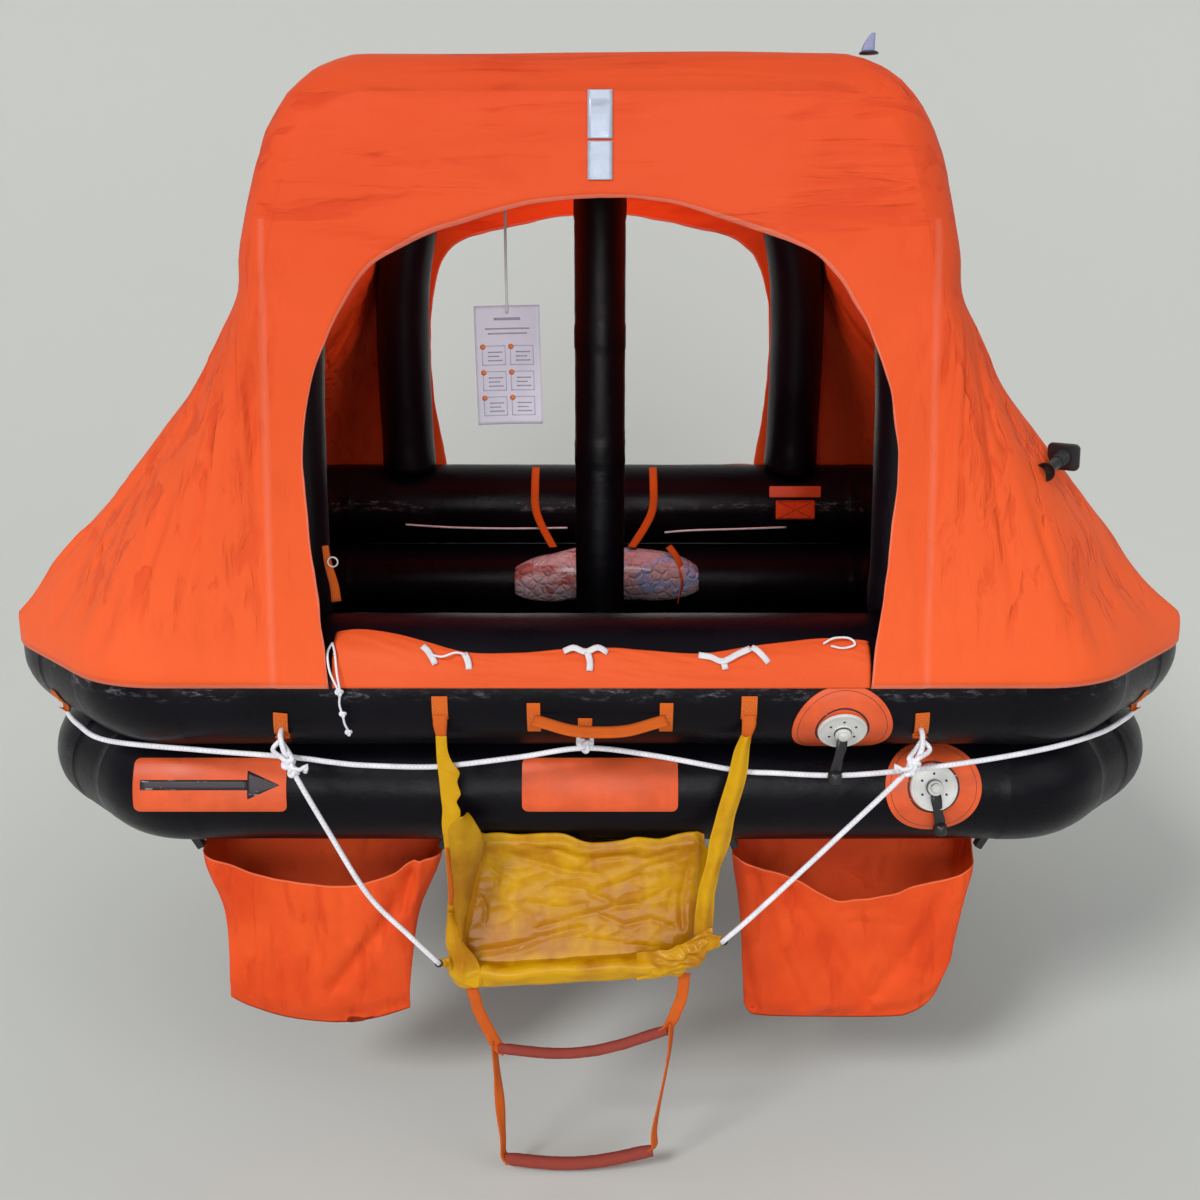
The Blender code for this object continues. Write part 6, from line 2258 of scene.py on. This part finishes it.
for k, (low, high) in enumerate(((1.224, 1.288), (1.292, 1.372))):
    strip = canopyStrip([(0.0, low), (0.0, (low + high) / 2), (0.0, high)], 0.0215, 0.0022)
    makePiece("silverTape" + ("Lower", "Upper")[k], strip, silverPaint.material, thickness=0.0006)
print("canopy tapes made")

lampPaint = Paint("lampLens", (0.30, 0.31, 0.56), 0.18, **{"Transmission Weight": 0.35, "IOR": 1.45})
lampSoil = lampPaint.cloud(lampPaint.coords(), 70.0, 3.0, 0.5)
lampPaint.put("Roughness", lampPaint.ramp(lampSoil, 0.3, 0.7, (0.10, 0.28)))


def exteriorLight():
    # a thin upright fin on a small black foot
    place = (0.4745, -0.700)
    fin = boxMesh((0.024, 0.007, 0.032), 0.003, 3)
    bmesh.ops.subdivide_edges(fin, edges=fin.edges[:], cuts=2, use_grid_fill=True)
    for vert in fin.verts:
        rise = max(0.0, (vert.co.z + 0.016) / 0.032)
        vert.co.x = 0.012 - (0.012 - vert.co.x) * (1 - 0.72 * rise**1.8)
        vert.co += Vector((place[0] - 0.002, place[1], 1.4588))
    makePiece(
        "exteriorLightFin", fin, lampPaint.material, levels=1, slotName="lamp_lens", standsFor=("exterior_light",)
    )
    foot = spinMesh([(0.0, 0.0), (0.017, 0.0), (0.017, 0.0022), (0.014, 0.0042), (0.0, 0.0046)], 32)
    makePiece("exteriorLightFoot", setDown(foot, Matrix.Translation((place[0], place[1], 1.4400))), "blackPart")


exteriorLight()


spoutLooks = {
    "base": (0.8740, -0.7420, 0.7300),
    "aim": (-0.60, -0.78, -0.16),
    "outline": (
        (0.0, 0.0), (0.0165, 0.0), (0.0170, 0.004), (0.0150, 0.010), (0.0120, 0.014), (0.0108, 0.040),
        (0.0098, 0.066), (0.0112, 0.078), (0.0150, 0.088), (0.0182, 0.0950), (0.0178, 0.0962), (0.0140, 0.0900),
        (0.0086, 0.0780), (0.0, 0.0760),
    ),
    "ribs": {"radius": 0.0118, "wire": 0.0016, "places": (0.020, 0.026, 0.032)},
}


def rainSpout():
    along = Vector(spoutLooks["aim"]).normalized()
    over = along.cross(Vector((0, 0, 1))).normalized().cross(along)
    turned = seatAt(Vector(spoutLooks["base"]), over, along)
    neck = setDown(spinMesh(spoutLooks["outline"], 40), turned)
    ribs = spoutLooks["ribs"]
    rings = [
        setDown(tubeMesh(ringPoints(ribs["radius"], 40, z), ribs["wire"], 8, cyclic=True), turned)
        for z in ribs["places"]
    ]
    sharpen(makePiece("rainSpout", mergeMeshes([neck] + rings), "blackPart", standsFor=("rain_spout",)), 40)
    # the cloth round it is clamped in a soft black cuff
    cuff = roundedPlate(0.060, 0.052, 0.010, 0.006, 0.01, 0.002)
    for vert in cuff.verts:
        vert.co.z += -0.004 - 3.0 * vert.co.x**2
    makePiece("rainSpoutCuff", setDown(cuff, turned), "blackPart")


rainSpout()


# shape: share of the radius and place along; the neck and its valve are in metres
cylinderLooks = {
    "radius": 0.0695,
    "start": -0.24,
    "y": 0.78,
    "shape": ((0.0, 0.0), (0.55, 0.004), (0.86, 0.020), (1, 0.050), (1, 0.400), (0.90, 0.432), (0.55, 0.456)),
    "neck": ((0.022, 0.464), (0.020, 0.474), (0.0, 0.475)),
    "valve": (
        (0.0, 0.470), (0.019, 0.470), (0.019, 0.482), (0.015, 0.484), (0.015, 0.496), (0.012, 0.499), (0.0, 0.4995),
    ),
    "straps": (-0.13, 0.08),
}


def gasCylinder():
    r, y = cylinderLooks["radius"], cylinderLooks["y"]
    z = raft["lowerZ"] - raft["lowerR"] - 0.0704
    turned = Matrix.Translation((cylinderLooks["start"], y, z)) @ Matrix.Rotation(math.radians(90), 4, "Y")
    body = spinMesh([(r * share, place) for share, place in cylinderLooks["shape"]] + list(cylinderLooks["neck"]), 64)
    paint = Paint("cylinderPaint", (0.05, 0.05, 0.055), 0.35)
    soil = paint.cloud(paint.coords(), 14.0, 5.0, 0.6)
    paint.put("Base Color", paint.blend(soil, (0.030, 0.030, 0.034), (0.085, 0.085, 0.09)))
    paint.put("Roughness", paint.ramp(soil, 0.3, 0.7, (0.28, 0.46)))
    makePiece(
        "gasCylinder", setDown(body, turned), paint.material, slotName="cylinder_paint", standsFor=("gas_cylinder",)
    )
    sharpen(makePiece("gasCylinderValve", setDown(spinMesh(cylinderLooks["valve"], 24), turned), "greyPart"))
    for k, x in enumerate(cylinderLooks["straps"]):
        hoop = arcLine(x, y, z, r + 0.0022, range(-216, 37, 9))
        makePiece("cylinderStrap" + ("Left", "Right")[k], bandMesh(hoop, 0.036), "webbing", thickness=0.0022)


gasCylinder()
print("fittings made")

# Floor, backdrop and lights

stageLooks = {
    "glow": {"power": 14.0, "size": 0.22, "colour": (1.0, 0.62, 0.60), "place": (0.0, 0.22, 1.16)},
    "floorZ": -0.712,
    "colour": (0.545, 0.558, 0.535),
    "air": 0.33,
    "suns": {
        "keyLight": ((0.80, 0.95, -1.0), 1.50, 16),
        "fillLight": ((-0.90, 0.90, -0.75), 0.50, 40),
        "frontLight": ((0.02, 1.0, -0.24), 1.05, 30),
    },
}


def backdrop():
    def placeAt(u, w):
        x = (u - 0.5) * 24
        depth, start, bend = w * 17 - 7, 1.8, 2.6
        if depth < start:
            return Vector((x, depth, stageLooks["floorZ"]))
        turn = min((depth - start) / bend, math.pi / 2)
        rise = max(0.0, depth - start - bend * math.pi / 2)
        return Vector((x, start + bend * math.sin(turn), stageLooks["floorZ"] + bend * (1 - math.cos(turn)) + rise))

    # the tone evens out the light round the sweep
    paint = Paint("studioPaper", stageLooks["colour"], 0.9, **{"Specular IOR Level": 0.0})
    facing = paint.node("ShaderNodeNewGeometry", output=1)
    light = stageLooks["air"]
    for aim, power, _ in stageLooks["suns"].values():
        toward = -Vector(aim).normalized()
        lit = paint.node("ShaderNodeVectorMath", {"operation": "DOT_PRODUCT"}, {0: facing, 1: toward}, output=1)
        light = lit.work("MAXIMUM", 0.0) * (power / math.pi) + light
    even = 1 / light
    tone = paint.node("ShaderNodeVectorMath", {"operation": "SCALE"}, {0: stageLooks["colour"], "Scale": even})
    paint.put("Base Color", tone)
    paper = makePiece("studioPaper", sheetMesh(12, 96, placeAt), paint.material, None)


backdrop()


def addLamp(name, kind, power, **values):
    data = bpy.data.lights.new(name, kind)
    data.energy = power
    for key, value in values.items():
        setattr(data, key, value)
    lamp = bpy.data.objects.new(name, data)
    scene.collection.objects.link(lamp)
    return lamp


for name, (aim, power, angle) in stageLooks["suns"].items():
    sun = addLamp(name, "SUN", power, angle=math.radians(angle))
    sun.rotation_euler = Vector(aim).to_track_quat("-Z", "Y").to_euler()
# daylight that comes in through the cloth
glow = stageLooks["glow"]
glowLamp = addLamp("clothGlow", "POINT", glow["power"], shadow_soft_size=glow["size"], color=glow["colour"])
glowLamp.location = glow["place"]
glowLamp.visible_glossy = False
world = bpy.data.worlds.new("studioAir")
world.use_nodes = True
air = world.node_tree.nodes["Background"].inputs
air[0].default_value, air[1].default_value = (0.97, 0.98, 1.0, 1.0), stageLooks["air"]
scene.world = world
scene.view_settings.view_transform = "Standard"
scene.view_settings.look = "None"
print("stage and lights made")
